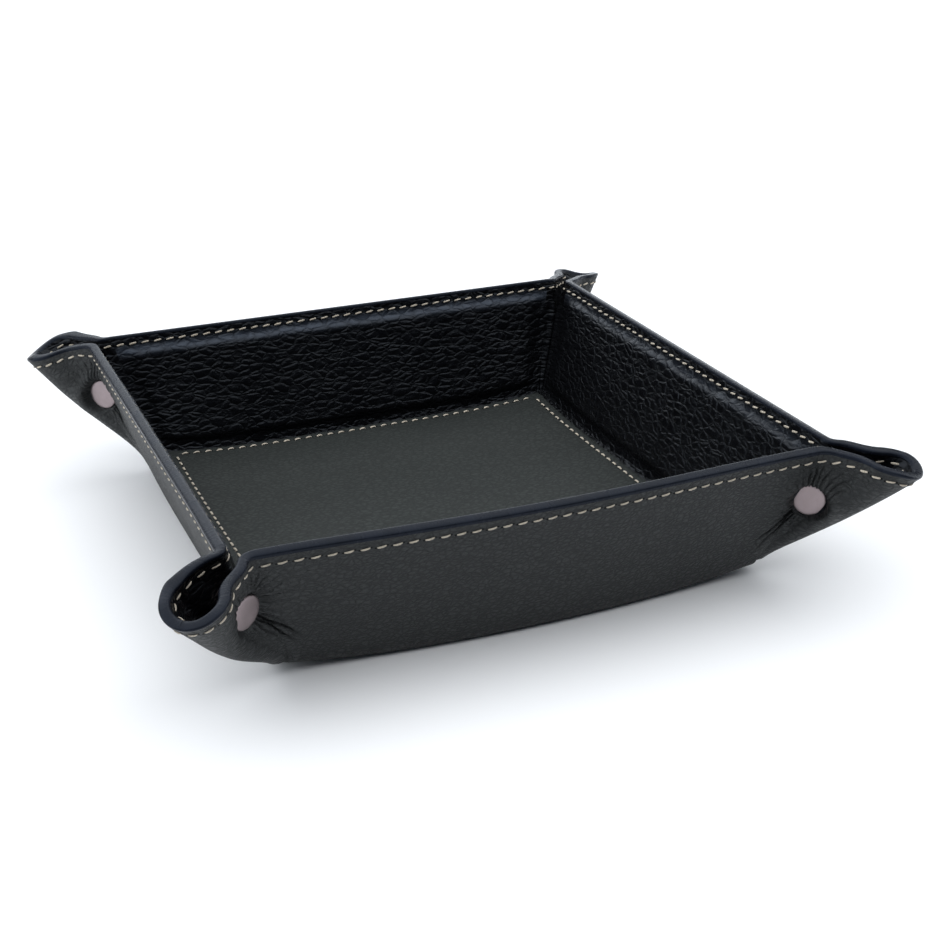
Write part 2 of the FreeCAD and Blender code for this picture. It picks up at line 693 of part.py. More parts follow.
def keep_stitches(label, bars, placement):
    thread = keep(doc.addObject("Part::Feature", label))
    thread.Shape = Part.makeCompound(bars)
    thread.Placement = placement


def make_wall_stitching(wall, turn):
    """Rows below the top edge, on the outer face and on the lining."""
    rise = size("wall_slant") - size("wall_stitch_inset")
    half_length = float(sizes.evalExpression(wall_half_length("Sizes.wall_slant - Sizes.wall_stitch_inset")))
    levels = (0, -size("edge_thickness") - size("thread_rise"))
    bars = []
    for level in levels:
        for bar in stitch_row(half_length, size("wall_stitch_pitch"), size("stitch_length")):
            bar.translate(FreeCAD.Vector(0, rise, level))
            bars.append(bar)
    keep_stitches(f"{wall}_wall_stitching", bars, wall_placement(turn))


def make_pad_stitching():
    """Square of stitches inside the pad's edge."""
    half = size("half_floor") - size("pad_margin") - size("pad_stitch_inset")
    pitch, length = size("pad_stitch_pitch"), size("pad_stitch_length")
    bars = []
    for turn in range(len(WALLS)):
        for bar in stitch_row(half - pitch / 2, pitch, length):
            bar.translate(FreeCAD.Vector(0, -half, size("pad_level") + size("pad_thickness")))
            bar.rotate(FreeCAD.Vector(), FreeCAD.Vector(0, 0, 1), QUARTER_TURN * turn)
            bars.append(bar)
    keep_stitches("pad_stitching", bars, FreeCAD.Placement())


make_floor_outer()
make_floor_board()
make_floor_lining()
make_base_pad()
make_pad_stitching()
for turn, wall in enumerate(WALLS):
    make_wall_outer(wall, turn)
    make_wall_board(wall, turn)
    make_wall_lining(wall, turn)
    make_wall_stitching(wall, turn)
    make_ear_leathers(wall, "left", turn, 1)
    make_ear_leathers(wall, "right", turn + 1, -1)
    make_socket_side(wall, turn)
    make_stud_side(wall, turn + 1)

doc.recompute()

failed = [item.Label for item in doc.Objects if {"Invalid", "Error"} & set(item.State)]
failed += [node.Label for node in nodes if node.Shape.isNull() or not node.Shape.isValid()]
if failed:
    raise RuntimeError("failed objects: " + ", ".join(sorted(set(failed))))

os.makedirs("parts", exist_ok=True)
for node in nodes:
    node.Shape.exportStep(f"parts/{node.Label}.step")
    solids = node.Shape.Solids
    print(node.Label, len(solids), "solids", round(sum(solid.Volume for solid in solids), 2), "mm3")
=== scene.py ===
from math import acos, atan, cos, pi, radians, sin, sqrt, tan
import bpy
import numpy as np
from mathutils import Matrix, Vector


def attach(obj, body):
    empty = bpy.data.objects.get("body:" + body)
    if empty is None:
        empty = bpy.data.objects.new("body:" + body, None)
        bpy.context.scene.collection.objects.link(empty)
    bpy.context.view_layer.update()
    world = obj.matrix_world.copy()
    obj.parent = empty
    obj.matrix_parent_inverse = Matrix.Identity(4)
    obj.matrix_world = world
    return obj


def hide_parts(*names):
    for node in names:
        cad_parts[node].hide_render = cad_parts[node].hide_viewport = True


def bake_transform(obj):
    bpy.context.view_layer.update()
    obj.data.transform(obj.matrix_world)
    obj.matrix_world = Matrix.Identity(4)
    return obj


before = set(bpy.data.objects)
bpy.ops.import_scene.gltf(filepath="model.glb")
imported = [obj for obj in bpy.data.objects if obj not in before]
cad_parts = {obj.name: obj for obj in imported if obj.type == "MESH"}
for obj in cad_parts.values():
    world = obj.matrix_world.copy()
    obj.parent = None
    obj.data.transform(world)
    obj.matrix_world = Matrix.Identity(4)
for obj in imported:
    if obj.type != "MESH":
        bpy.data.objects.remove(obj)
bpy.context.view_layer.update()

# All shapes are worked out in millimetres and written to the meshes in metres.
mm = 0.001
sheetScale = 0.01  # sheet coordinates count in 100 mm
sheetStep = 370.0  # from one wall's patch of the sheet to the next, in mm
walls = ["front", "right", "back", "left"]  # each a quarter turn on from the one before
print("stage: frame loaded,", len(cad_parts), "solids")

trayForm = {
    "halfFloor": 76.0,  # fold line of a wall, from the middle
    "lean": 18.0,  # degrees outwards
    "slant": 46.5,  # wall height along its slope
    "foldRadius": 5.0,
    "foldReach": 4.8,  # where a skin that bends with the fold has left the floor
    "leather": 1.5,  # one layer
    "glueGap": 0.1,  # back of an ear's lining from the glue line
    "seam": -0.03,  # each ear half to the plane between the halves; they just touch
    "edgeDrop": 1.15,  # painted edge, measured down the face
    "cupRadius": 1.5,  # round floor corner, at the fold's start
}

lean = radians(trayForm["lean"])
crease = atan(sin(lean))  # wall end to crease line, in the wall's plane
tilt = atan(sqrt(2) * tan(lean))  # crease line to the vertical
bend = acos(cos(lean) / sqrt(2))  # wall to ear
halfFloor, slant, skin, foldRadius, edgeDrop, seam = (
    trayForm[key] for key in ("halfFloor", "slant", "leather", "foldRadius", "edgeDrop", "seam"))
foldAngle = pi / 2 - lean
foldTangent = foldRadius * tan(foldAngle / 2)
flatHalf = halfFloor - foldTangent
cupAxis = flatHalf - trayForm["cupRadius"]


def smooth(t):
    t = np.clip(t, 0, 1)
    return t * t * (3 - 2 * t)


def rise(x, start, run):
    return smooth((x - start) / run)


def bell(x, centre, width):
    return np.exp(-((x - centre) / width) ** 2)


def spread(*parts):
    # places from their coordinates, each an array or one number for all
    return np.stack(np.broadcast_arrays(*parts), -1).astype(float)


def unit(vectors):
    return vectors / np.linalg.norm(vectors, axis=-1, keepdims=True)


def quarterTurn(points, count):
    # turn about the upright axis by whole quarter turns
    x, y, z = np.moveaxis(np.asarray(points, float), -1, 0)
    for _ in range(count % 4):
        x, y = -y, x
    return spread(x, y, z)


earForm = {
    # Sections of an ear square to its crease line, at the foot, the snap and the top. Each column
    # is the distance along the crease, the lining's distance from the middle plane, the bend
    # radius, the reach of the fold, and the loop and flare radii.
    "stations": np.array([
        [2.5, 0.25, 1.8, 0.044, 1.7, 3.0],
        [29.8, 1.07, 4.41, 10.97, 3.8, 5.0],
        [62.2, 2.05, 7.5, 24.5, 8.6, 20.0],
    ]),
    "loopLeast": 0.05,  # the loop's radius stays this much over its rise
    "footStation": (2.3, 0.9),  # lowest row, outer leather and lining
    "topGuess": 50.0, "topSteps": 12,  # search for the top edge
    "tipRound": 10.0,
    "blendReach": 6.0,  # past the bend a skin moves with the ear
    # the second blend point lies this far past the bend
    "snapReach": 0.3,
    "capSeat": [3.5, 1.9, 3.0, 2.7],  # underside of the cap from the middle plane, by corner
    "pressRadius": 5.75, "pressPower": 12,  # steep round edge of the leather at the cap
    "puff": [0.8, 3.9, 1.7, 2.0],  # leather standing up round the cap, most above it
    "puffLevel": 0.4, "puffSlope": 0.6, "puffRing": (7.2, 2.4),
    # below the snap the halves spread, so the valley beside the ear fills
    "footFill": 2.0, "fillOut": (-3.5, 4.0), "fillUp": (11.0, 8.0),
    # rims that stand wider open: how much, where along the ear, and over what length
    "neck": {(0, 1): (1.7, 1, 6), (0, -1): (4.4, 5, 8), (1, 1): (1.5, 1, 6), (2, 1): (0.8, 1, 6),
             (2, -1): (0.8, 1, 6), (3, -1): (2.2, 5, 9)},
    "neckUp": (34.0, 14.0), "neckRun": 6.5,
    # the lining closes to the middle plane here, so nothing shows through between the halves
    "closeOut": (-4.4, 0.9), "closeUp": (34.0, 8.0),
    "faceCount": (120, 104), "liningCount": (64, 72), "edgeCount": (3, 104),  # rows and columns
    "edgeAim": 6,  # the edge points on from this many rows down
}
footAt, snapAt, topAt = earForm["stations"][:, 0]


def stationValues(w):
    # one parabola through the three stations for every value of the section
    rows = earForm["stations"][:, 1:]
    a = (w - snapAt) * (w - topAt) / ((footAt - snapAt) * (footAt - topAt))
    b = (w - footAt) * (w - topAt) / ((snapAt - footAt) * (snapAt - topAt))
    c = (w - footAt) * (w - snapAt) / ((topAt - footAt) * (topAt - snapAt))
    return [a * rows[0, i] + b * rows[1, i] + c * rows[2, i] for i in range(5)]


def bendFoot(glue, bendRadius):
    # the wall's plane from the crease line, and where the bend runs out on the ear's flat
    inset = (glue + skin * cos(bend)) / sin(bend)
    return inset, (-skin * sin(bend) - inset * cos(bend)
                   + bendRadius * tan(bend / 2))


def earSection(share, w, offset):
    # along the glue line: an arc out of the wall, a flat, an arc away from the middle plane and an
    # arc back round to it; offset moves the point square to that line
    lining, bendRadius, reach, loop, flare = stationValues(w)
    glue = lining + skin
    lift = glue - seam
    loop = np.maximum(loop, lift + earForm["loopLeast"])
    room = np.sqrt((flare + loop) ** 2 - (flare + lift) ** 2)
    turn = np.arcsin(room / (flare + loop))
    flatStart = bendFoot(glue, bendRadius)[1]
    flareStart = np.maximum(reach - loop - room, flatStart)
    loopCentre = flareStart + room
    bendLength = bendRadius * bend
    flatEnd = bendLength + flareStart - flatStart
    flareEnd = flatEnd + flare * turn
    total = flareEnd + loop * (pi / 2 + turn)
    q = share * total
    angle = np.clip(q / bendRadius - bend, -bend, 0)
    e1 = flatStart + (bendRadius - offset) * np.sin(angle)
    n1 = glue + bendRadius - (bendRadius - offset) * np.cos(angle)
    e2, n2 = flatStart + q - bendLength, glue + offset + 0 * q
    angle = np.clip((q - flatEnd) / flare, 0, turn)
    e3 = flareStart + (flare - offset) * np.sin(angle)
    n3 = glue + flare - (flare - offset) * np.cos(angle)
    angle = turn - np.clip(q - flareEnd, 0, None) / loop
    e4 = loopCentre - (loop + offset) * np.sin(angle)
    n4 = seam + (loop + offset) * np.cos(angle)
    at = [q < bendLength, q < flatEnd, q < flareEnd]
    return np.select(at, [e1, e2, e3], e4), np.select(at, [n1, n2, n3], n4), q


def wallEnd(w):
    # wall end at a station: distance in from the floor corner, and height up the slope; the inset
    # from the crease line is straight between the foot and the top station
    ends = []
    for row in (0, 2):
        lining, bendRadius = earForm["stations"][row, 1:3]
        ends.append(bendFoot(lining + skin, bendRadius)[0] + bendRadius * tan(bend / 2))
    inset = ends[0] + (ends[1] - ends[0]) * (w - footAt) / (topAt - footAt)
    return (inset * cos(crease) - w * sin(crease),
            inset * sin(crease) + w * cos(crease))


footX, footV = wallEnd(footAt)
topX, topV = wallEnd(topAt)
endSlope = (footX - topX) / (topV - footV)


def wallHalf(v):
    return halfFloor - footX + (v - footV) * endSlope


endX = halfFloor - wallHalf(slant)
edgeStart = np.array([
    -skin * sin(bend)
    - (endX * cos(crease) + slant * sin(crease)) * cos(bend),
    slant * cos(crease) - endX * sin(crease)])
tipAngle = pi / 4 - crease
sharpTip = np.array([sin(tipAngle), cos(tipAngle)]) * slant * sqrt(2)
edgeRun = unit(sharpTip - edgeStart)
edgeRise = np.array([-edgeRun[1], edgeRun[0]])
foldFoot, foldTop = (np.array([row[3] + skin, row[0]]) for row in earForm["stations"][1:])
foldRun = unit(foldTop - foldFoot)
tipRound = earForm["tipRound"]
tipCentre = foldFoot + foldRun * (((edgeStart - foldFoot) @ edgeRise - tipRound)
                                  / (foldRun @ edgeRise))
roundStart = tipCentre + edgeRise * tipRound


def edgeHeight(e):
    # top edge of the ear: straight on from the wall, then a round crest down to the fold
    straight = edgeStart[1] + (e - edgeStart[0]) * edgeRun[1] / edgeRun[0]
    crest = tipCentre[1] + np.sqrt(np.clip(tipRound ** 2 - (e - tipCentre[0]) ** 2, 0, None))
    return np.where(e < roundStart[0], straight, crest)


def earTop(share):
    # repeats until the section's reach and the edge's height agree
    w = np.full_like(share, earForm["topGuess"])
    for _ in range(earForm["topSteps"]):
        w = edgeHeight(earSection(share, w, 0)[0])
    return w


cornerPoint = np.array([-halfFloor, -halfFloor, 0.0])
alongAxis = np.array([-sin(tilt) / sqrt(2), -sin(tilt) / sqrt(2), cos(tilt)])
reachAxis = np.array([-cos(tilt) / sqrt(2), -cos(tilt) / sqrt(2), -sin(tilt)])
acrossAxis = np.array([1, -1, 0]) / sqrt(2)  # towards the wall on the corner's right


def earToWorld(e, n, w, corner):
    points = (cornerPoint + e[..., None] * reachAxis + n[..., None] * acrossAxis
              + w[..., None] * alongAxis)
    return quarterTurn(points, corner)


def worldToEar(points, corner):
    local = quarterTurn(points, 4 - corner % 4) - cornerPoint
    return local @ reachAxis, local @ acrossAxis, local @ alongAxis


creaseForm = {
    "lines": [  # degrees round the cap on the flat sheet, depth, half width, start, end
        (-136, 1.15, 0.42, 5.0, 24.0), (-128, 1.0, 0.40, 5.2, 26.0), (-145, 0.6, 0.34, 6.0, 17.0),
        (-118, 0.7, 0.36, 5.2, 18.0), (-157, 0.45, 0.32, 5.4, 15.0), (-108, 0.4, 0.34, 6.0, 13.0),
        (-98, 0.25, 0.36, 6.0, 12.0), (178, 0.36, 0.32, 6.0, 17.0), (164, 0.42, 0.32, 5.8, 18.0),
        (147, 0.46, 0.32, 5.6, 17.0), (133, 0.55, 0.32, 5.4, 16.0), (120, 0.62, 0.34, 5.4, 16.0),
        (108, 0.55, 0.32, 5.4, 15.5), (97, 0.66, 0.34, 5.4, 16.5), (86, 0.58, 0.32, 5.4, 16.0),
        (75, 0.58, 0.32, 5.4, 17.0), (62, 0.52, 0.34, 5.4, 18.0), (50, 0.46, 0.34, 5.6, 18.0),
        (37, 0.40, 0.36, 5.8, 17.0), (22, 0.32, 0.38, 6.0, 15.0), (6, 0.22, 0.40, 6.2, 13.0),
    ],
    "wander": 0.26, "wanderRate": 0.6, "ripple": 0.07, "rippleRate": 2.3, "rippleShift": 2.1,
    "wanderRun": 4.0, "fadeIn": 1.2, "fadeOut": 0.5,
    "rightSeed": 9,  # creases at a wall's right end differ from those at its left
}


def pressSnap(points, corner, side, depth):
    # leather near the cap drops to the cap's seat inside a steep round edge and puffs up beyond it,
    # and a bell-shaped fill rounds the foot; depth is the layer's own depth below the outer face
    form = earForm
    e, n, w = worldToEar(points, corner)
    de, dw = e - form["snapReach"], w - snapAt
    r = np.hypot(de, dw)
    own = n * side
    ahead = own > 0
    upper = form["puffLevel"] + form["puffSlope"] * dw / (r + 1)
    puff = form["puff"][corner % 4] * upper * bell(r, *form["puffRing"])
    fill = form["footFill"] * bell(w, *form["fillUp"]) * bell(e, *form["fillOut"])
    own = own + ahead * (puff + fill)
    above = np.maximum(own - (form["capSeat"][corner % 4] - depth), 0)
    own = own - ahead * above * np.exp(-(r / form["pressRadius"]) ** form["pressPower"])
    return earToWorld(e, own * side, w, corner)


def creaseDepth(out, up, seed):
    # grooves that leave the cap like spokes on the flat sheet: each is a narrow bell across its
    # line, wanders a little, and fades at both ends
    form = creaseForm
    r, theta = np.hypot(out, up), np.arctan2(up, out)
    total = np.zeros_like(r)
    for at, deep, width, first, last in form["lines"]:
        shift = (form["wander"] * np.sin(r * form["wanderRate"] + at + seed)
                 + form["ripple"] * np.sin(r * form["rippleRate"] + form["rippleShift"] * at - seed))
        turn = (theta - radians(at) + pi) % (2 * pi) - pi
        across = r * np.clip(turn, -1, 1) - shift * rise(r, first, form["wanderRun"])
        total = np.maximum(total, deep * bell(across, 0, width) * rise(r, first, form["fadeIn"])
                           * smooth((last - r) / (form["fadeOut"] * last)))
    return total


settleForm = {
    "frontBow": 3.0,  # the front wall bulges out this much at its middle
    "bowStart": 30.0,  # where on the floor the bow begins
    "lifts": [(2.2, 24), (1.0, 9)],  # floor corners off the ground, and over what reach
    "liftHeight": 30.0,  # fading out up to here
    # the front left snap is pressed over to the left, and twisted to face the front by a slope
    "pressReach": 0.6, "pressStation": 29.0,
    "sway": 3.5, "swayOut": (12, 18), "swayUp": 15, "turn": 0.24, "turnOut": 8, "turnUp": 14,
    "earWidth": 40.0, "earFoot": -12.0, "earStart": -30.0,  # what counts as part of an ear
    "footTuck": [(2.4, 20), (3.8, 50), (3.4, 40), (3.4, 40)],  # ear feet drawn in, and over what height
    "tuckStart": -4.6, "tuckFoot": 0.9, "tuckSoft": 6.0,
    "droop": {0: 2.0, 3: 2.4}, "droopOut": (-4, 26),  # front left and back left tips
    "tip": {3: 0.22}, "tipOut": (-5, 14), "tipUp": (12, 30),  # back left loop leans to the front
}


def settle(points):
    # how the leather has settled: the front wall bows out by a squared parabola, the floor corners
    # lift and tuck inwards, two ears droop towards their tips, and the front left snap is pushed
    # aside and turned by bell-shaped amounts
    form = settleForm
    moved = np.array(points, float)
    x, y, z = np.moveaxis(moved, -1, 0)
    ends = wallHalf(np.clip(z / cos(lean), 0, slant))
    moved[..., 1] -= (form["frontBow"] * np.clip(1 - (x / ends) ** 2, 0, 1) ** 2
                      * rise(-y, form["bowStart"], flatHalf - form["bowStart"]))
    away = np.hypot(halfFloor - np.abs(x), halfFloor - np.abs(y))
    lift = sum(size * bell(away, 0, reach) for size, reach in form["lifts"])
    moved[..., 2] += lift * (1 - smooth(z / form["liftHeight"]))
    for corner in range(4):
        e, n, w = worldToEar(moved, corner)
        if corner == 0:
            out, up = e - form["pressReach"], w - form["pressStation"]
            width = np.where(out < 0, *form["swayOut"])
            n = n - form["sway"] * bell(out, 0, width) * bell(up, 0, form["swayUp"])
            n = n - form["turn"] * out * bell(out, 0, form["turnOut"]) * bell(up, 0, form["turnUp"])
        near = (np.abs(n) < form["earWidth"]) & (w > form["earFoot"]) & (e > form["earStart"])
        past = np.maximum(e - form["tuckStart"], 0)
        size, run = form["footTuck"][corner]
        tuck = (size * (1 - rise(w, form["tuckFoot"], run))
                * past ** 2 / (past ** 2 + form["tuckSoft"]))
        droop = (form["droop"].get(corner, 0) * rise(e, *form["droopOut"])
                 + form["tip"].get(corner, 0) * n * rise(e, *form["tipOut"]) * rise(w, *form["tipUp"]))
        shifted = earToWorld(e - tuck, n, w, corner)
        shifted[..., 2] -= droop
        moved = np.where(near[..., None], shifted, moved)
    return moved


def gridQuads(rows, cols, first):
    a = np.arange(rows * cols).reshape(rows, cols) + first
    return np.stack([a[:-1, :-1], a[:-1, 1:], a[1:, 1:], a[1:, :-1]], -1).reshape(-1, 4)


def rimQuads(rows, cols, first, second):
    # joins the edges of two grids of one size, all the way round
    a = np.arange(rows * cols).reshape(rows, cols)
    ring = np.concatenate([a[0, :-1], a[:-1, -1], a[-1, :0:-1], a[:0:-1, 0]])
    after = np.roll(ring, -1)
    return np.stack([ring + second, after + second, after + first, ring + first], -1)


def ringQuads(rows, around):
    # closed rings of points, each joined to the next
    a = np.arange(rows * around).reshape(rows, around)
    b = np.roll(a, -1, 1)
    return a, b, np.stack([a[:-1], a[1:], b[1:], b[:-1]], -1).reshape(-1, 4)


def addObject(name, data):
    piece = bpy.data.objects.new(name, data)
    bpy.context.scene.collection.objects.link(piece)
    return piece


def putMesh(name, points, faces, uv, material, sharp=40):
    mesh = bpy.data.meshes.new(name)
    mesh.from_pydata((points * mm).tolist(), [], faces if uv is None else faces.tolist())
    if uv is not None:
        layer = mesh.uv_layers.new(name="sheet")
        layer.uv.foreach_set("vector", uv[faces.ravel()].astype(np.float32).ravel())
    mesh.polygons.foreach_set("use_smooth", np.ones(len(faces), bool))
    mesh.set_sharp_from_angle(angle=radians(sharp))
    mesh.materials.append(material)
    mesh.update()
    return addObject(name, mesh)


def dress(piece, node=None, body=None):
    # the solid that the piece stands for, and the body that carries it
    if node:
        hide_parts(node)
    if body:
        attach(piece, body)


def shell(name, layers, material, node=None, body=None, fold=None):
    # closed skins, each between a face grid and a back grid of the same size; the optional marks on
    # the first face tell the material where to paint shade or a pale sheen
    points, quads, uvs, count = [], [], [], 0
    for face, back, uv in layers:
        rows, cols = face.shape[:2]
        along, up = np.diff(face, axis=1)[:-1], np.diff(face, axis=0)[:, :-1]
        outward = np.einsum("ijk,ijk->", np.cross(along, up), (face - back)[:-1, :-1])
        front = gridQuads(rows, cols, count)
        rear = gridQuads(rows, cols, count + rows * cols)[:, ::-1]
        rim = rimQuads(rows, cols, count, count + rows * cols)
        part = np.concatenate([front, rear, rim])
        quads.append(part if outward > 0 else part[:, ::-1])
        points += [face.reshape(-1, 3), back.reshape(-1, 3)]
        uvs += [uv.reshape(-1, 2)] * 2
        count += 2 * rows * cols
    piece = putMesh(name, np.concatenate(points), np.concatenate(quads), np.concatenate(uvs), material)
    if fold is not None:
        marks = np.zeros(count, np.float32)
        marks[:fold.size] = fold.ravel()
        piece.data.attributes.new("fold", "FLOAT", "POINT").data.foreach_set("value", marks)
    dress(piece, node, body)
    return piece


# Node groups and materials

def feed(tree, inputs, values):
    # links each input to a socket, or sets it to a value
    for key, value in values.items():
        if isinstance(value, bpy.types.NodeSocket):
            tree.links.new(value, inputs[key])
        else:
            inputs[key].default_value = value


def addNode(tree, kind, values, **settings):
    node = tree.nodes.new(kind)
    for key, value in settings.items():
        setattr(node, key, value)
    feed(tree, node.inputs, values)
    return node.outputs


def mathNode(tree, operation, *values):
    return addNode(tree, "ShaderNodeMath", dict(enumerate(values)), operation=operation)[0]


def newGroup(name, inputs, outputs):
    group = bpy.data.node_groups.new(name, "ShaderNodeTree")
    group.interface.new_socket("Vector", in_out="INPUT", socket_type="NodeSocketVector")
    for label, value in inputs.items():
        socket = group.interface.new_socket(label, in_out="INPUT", socket_type="NodeSocketFloat")
        socket.default_value = value
    for label in outputs:
        group.interface.new_socket(label, in_out="OUTPUT", socket_type="NodeSocketFloat")
    return group, group.nodes.new("NodeGroupInput").outputs, group.nodes.new("NodeGroupOutput").inputs


# the scales here multiply the group's own Scale
groupForm = {"bendScale": 0.6, "fineScale": 3.1, "fineEdge": 3.0, "speckScale": 45.0}


def makeGrainGroup():
    # pebbles: distance to the nearest border of stretched cells, bent by noise, rounded by a sine
    # and roughened by a second, finer set of cells; creases are the low borders
    group, given, result = newGroup("leatherPebbles", {
        "Scale": 25.0, "Stretch": 1.0, "Bend": 0.02, "Fine": 0.3, "Edge": 2.2}, ["Height", "Crease"])
    maths = lambda operation, *values: mathNode(group, operation, *values)
    split = addNode(group, "ShaderNodeSeparateXYZ", {0: given["Vector"]})
    squeezed = addNode(group, "ShaderNodeCombineXYZ", {
        "X": maths("DIVIDE", split["X"], given["Stretch"]), "Y": split["Y"], "Z": split["Z"]})[0]
    noise = addNode(group, "ShaderNodeTexNoise", {
        "Vector": squeezed, "Detail": 2.0, "Roughness": 0.5,
        "Scale": maths("MULTIPLY", given["Scale"], groupForm["bendScale"])})
    vectors = lambda operation, values: addNode(group, "ShaderNodeVectorMath", values,
                                                operation=operation)[0]
    centred = vectors("SUBTRACT", {0: noise["Color"], 1: (0.5, 0.5, 0.5)})
    bent = vectors("ADD", {0: squeezed, 1: vectors("SCALE", {0: centred, "Scale": given["Bend"]})})

    def borders(scale, steep):
        cells = addNode(group, "ShaderNodeTexVoronoi", {
            "Vector": bent, "Scale": scale, "Randomness": 1.0}, feature="DISTANCE_TO_EDGE")
        return maths("MINIMUM", maths("MULTIPLY", cells["Distance"], steep), 1.0)

    dome = maths("SINE", maths("MULTIPLY", borders(given["Scale"], given["Edge"]), pi / 2))
    fineScale = maths("MULTIPLY", given["Scale"], groupForm["fineScale"])
    ripple = maths("MULTIPLY", borders(fineScale, groupForm["fineEdge"]), given["Fine"])
    feed(group, result, {"Height": maths("ADD", dome, ripple), "Crease": maths("SUBTRACT", 1.0, dome)})
    return group


def makeMottleGroup():
    # slow cloudy change and small specks, both from noise, for colour and shine
    group, given, result = newGroup("surfaceMottle", {"Scale": 4.0}, ["Cloud", "Speck"])
    cloud = addNode(group, "ShaderNodeTexNoise", {
        "Vector": given["Vector"], "Scale": given["Scale"], "Detail": 5.0, "Roughness": 0.6})
    speck = addNode(group, "ShaderNodeTexNoise", {
        "Vector": given["Vector"], "Detail": 3.0, "Roughness": 0.7,
        "Scale": mathNode(group, "MULTIPLY", given["Scale"], groupForm["speckScale"])})
    feed(group, result, {"Cloud": cloud["Fac"], "Speck": speck["Fac"]})
    return group


grainGroup, mottleGroup = makeGrainGroup(), makeMottleGroup()


def newMaterial(name, look):
    material = bpy.data.materials.new(name)
    material.use_nodes = True
    tree = material.node_tree
    shader = tree.nodes["Principled BSDF"].inputs
    shader["Specular IOR Level"].default_value = look["specular"]
    if "tint" in look:
        shader["Specular Tint"].default_value = (*look["tint"], 1)
    return material, tree, shader


def sheetPlace(tree):
    return addNode(tree, "ShaderNodeUVMap", {}, uv_map="sheet")[0]


def placeGroup(tree, group, vector, values):
    return addNode(tree, "ShaderNodeGroup", {"Vector": vector, **values}, node_tree=group)


def blendColour(tree, factor, look):
    # deep colour up to the lower place of the span, pale from the higher one
    ramp = tree.nodes.new("ShaderNodeValToRGB")
    for stop, colour, at in zip(ramp.color_ramp.elements, (look["deep"], look["pale"]), look["span"]):
        stop.color = (*colour, 1)
        stop.position = at
    feed(tree, ramp.inputs, {0: factor})
    return ramp.outputs[0]


def ranged(tree, factor, low, high, fromLow=0.3, fromHigh=0.7):
    return addNode(tree, "ShaderNodeMapRange", {0: factor, 1: fromLow, 2: fromHigh, 3: low, 4: high})[0]


def bumpNode(tree, height, look):
    return addNode(tree, "ShaderNodeBump", {
        "Height": height, "Strength": look["bump"], "Distance": look["bumpDepth"]})[0]


def mixColour(tree, kind, factor, first, second):
    return addNode(tree, "ShaderNodeMix", {"Factor": factor, "A": first, "B": (*second, 1)},
                   data_type="RGBA", blend_type=kind)["Result"]


# painted shade: crease and fold marks darken the colour towards this tone
leatherForm = {  # how creases look on every leather
    "span": (0.15, 0.9), "shadeTone": (0.25, 0.25, 0.27), "rough": 0.15, "foldMost": 0.95,
}


def makeLeather(name, look):
    # grain gives the bumps and paints shade into its creases, mottle shifts colour and shine a
    # little; the mesh's marks paint shade along folds or a pale painted highlight under the lining's
    # stitches
    material, tree, shader = newMaterial(name, look)
    maths = lambda operation, *values: mathNode(tree, operation, *values)
    sheet = sheetPlace(tree)
    grain = placeGroup(tree, grainGroup, sheet, look["grain"])
    mottle = placeGroup(tree, mottleGroup, sheet, {"Scale": look["mottle"]})
    body = blendColour(tree, mottle["Cloud"], look)
    # painted shade: the grain's creases darken the colour towards the shade tone
    shade = ranged(tree, grain["Crease"], 0.0, look["creaseShade"], *leatherForm["span"])
    fold = addNode(tree, "ShaderNodeAttribute", {}, attribute_name="fold")["Fac"]
    # painted sheen: the lining's marks mix in a pale colour for the highlight under the stitches
    if "paintedSheen" in look:
        body = mixColour(tree, "MIX", fold, body, look["paintedSheen"])
    # painted shade: the outer leather's marks darken the colour along the crease lines
    if "folds" in look:
        folds = maths("MULTIPLY", fold, look["folds"])
        shade = maths("MAXIMUM", shade, maths("MINIMUM", folds, leatherForm["foldMost"]))
    shine = ranged(tree, mottle["Cloud"], *look["rough"])
    height = maths("ADD", grain["Height"], maths("MULTIPLY", mottle["Speck"], look["speck"]))
    feed(tree, shader, {
        "Base Color": mixColour(tree, "MULTIPLY", shade, body, leatherForm["shadeTone"]),
        "Roughness": maths("ADD", shine, maths("MULTIPLY", grain["Crease"], leatherForm["rough"])),
        "Normal": bumpNode(tree, height, look)})
    return material


# its folds value paints shade along the crease lines marked on the mesh
outerLeather = makeLeather("outerLeather", {
    "deep": (0.0170, 0.0188, 0.0186), "pale": (0.0235, 0.0258, 0.0252), "span": (0.3, 0.7),
    "rough": (0.44, 0.54), "specular": 0.42, "tint": (0.95, 0.97, 1.0), "mottle": 5.0,
    "grain": {"Scale": 76.0, "Stretch": 1.5, "Bend": 0.016, "Fine": 0.3},
    "creaseShade": 0.6, "speck": 0.3, "bump": 0.95, "bumpDepth": 0.00026, "folds": 1.8,
})
# its last colour is a painted sheen: the highlight where the lining turns up under the stitches
liningLeather = makeLeather("liningLeather", {
    "deep": (0.0018, 0.0018, 0.0024), "pale": (0.0030, 0.0030, 0.0038), "span": (0.3, 0.7),
    "rough": (0.20, 0.28), "specular": 0.22, "tint": (0.80, 0.88, 1.0), "mottle": 6.0,
    "grain": {"Scale": 42.0, "Stretch": 1.8, "Bend": 0.03, "Fine": 0.16, "Edge": 2.8},
    "creaseShade": 0.6, "speck": 0.1, "bump": 0.7, "bumpDepth": 0.00034,
    "paintedSheen": (0.048, 0.058, 0.077),
})
padLeather = makeLeather("padLeather", {
    "deep": (0.0182, 0.0217, 0.0203), "pale": (0.0236, 0.0279, 0.0261), "span": (0.3, 0.7),
    "rough": (0.54, 0.64), "specular": 0.30, "tint": (0.97, 1.0, 1.0), "mottle": 4.0,
    "grain": {"Scale": 70.0, "Stretch": 1.6, "Bend": 0.012, "Fine": 0.25},
    "creaseShade": 0.5, "speck": 0.3, "bump": 0.6, "bumpDepth": 0.00015,
})


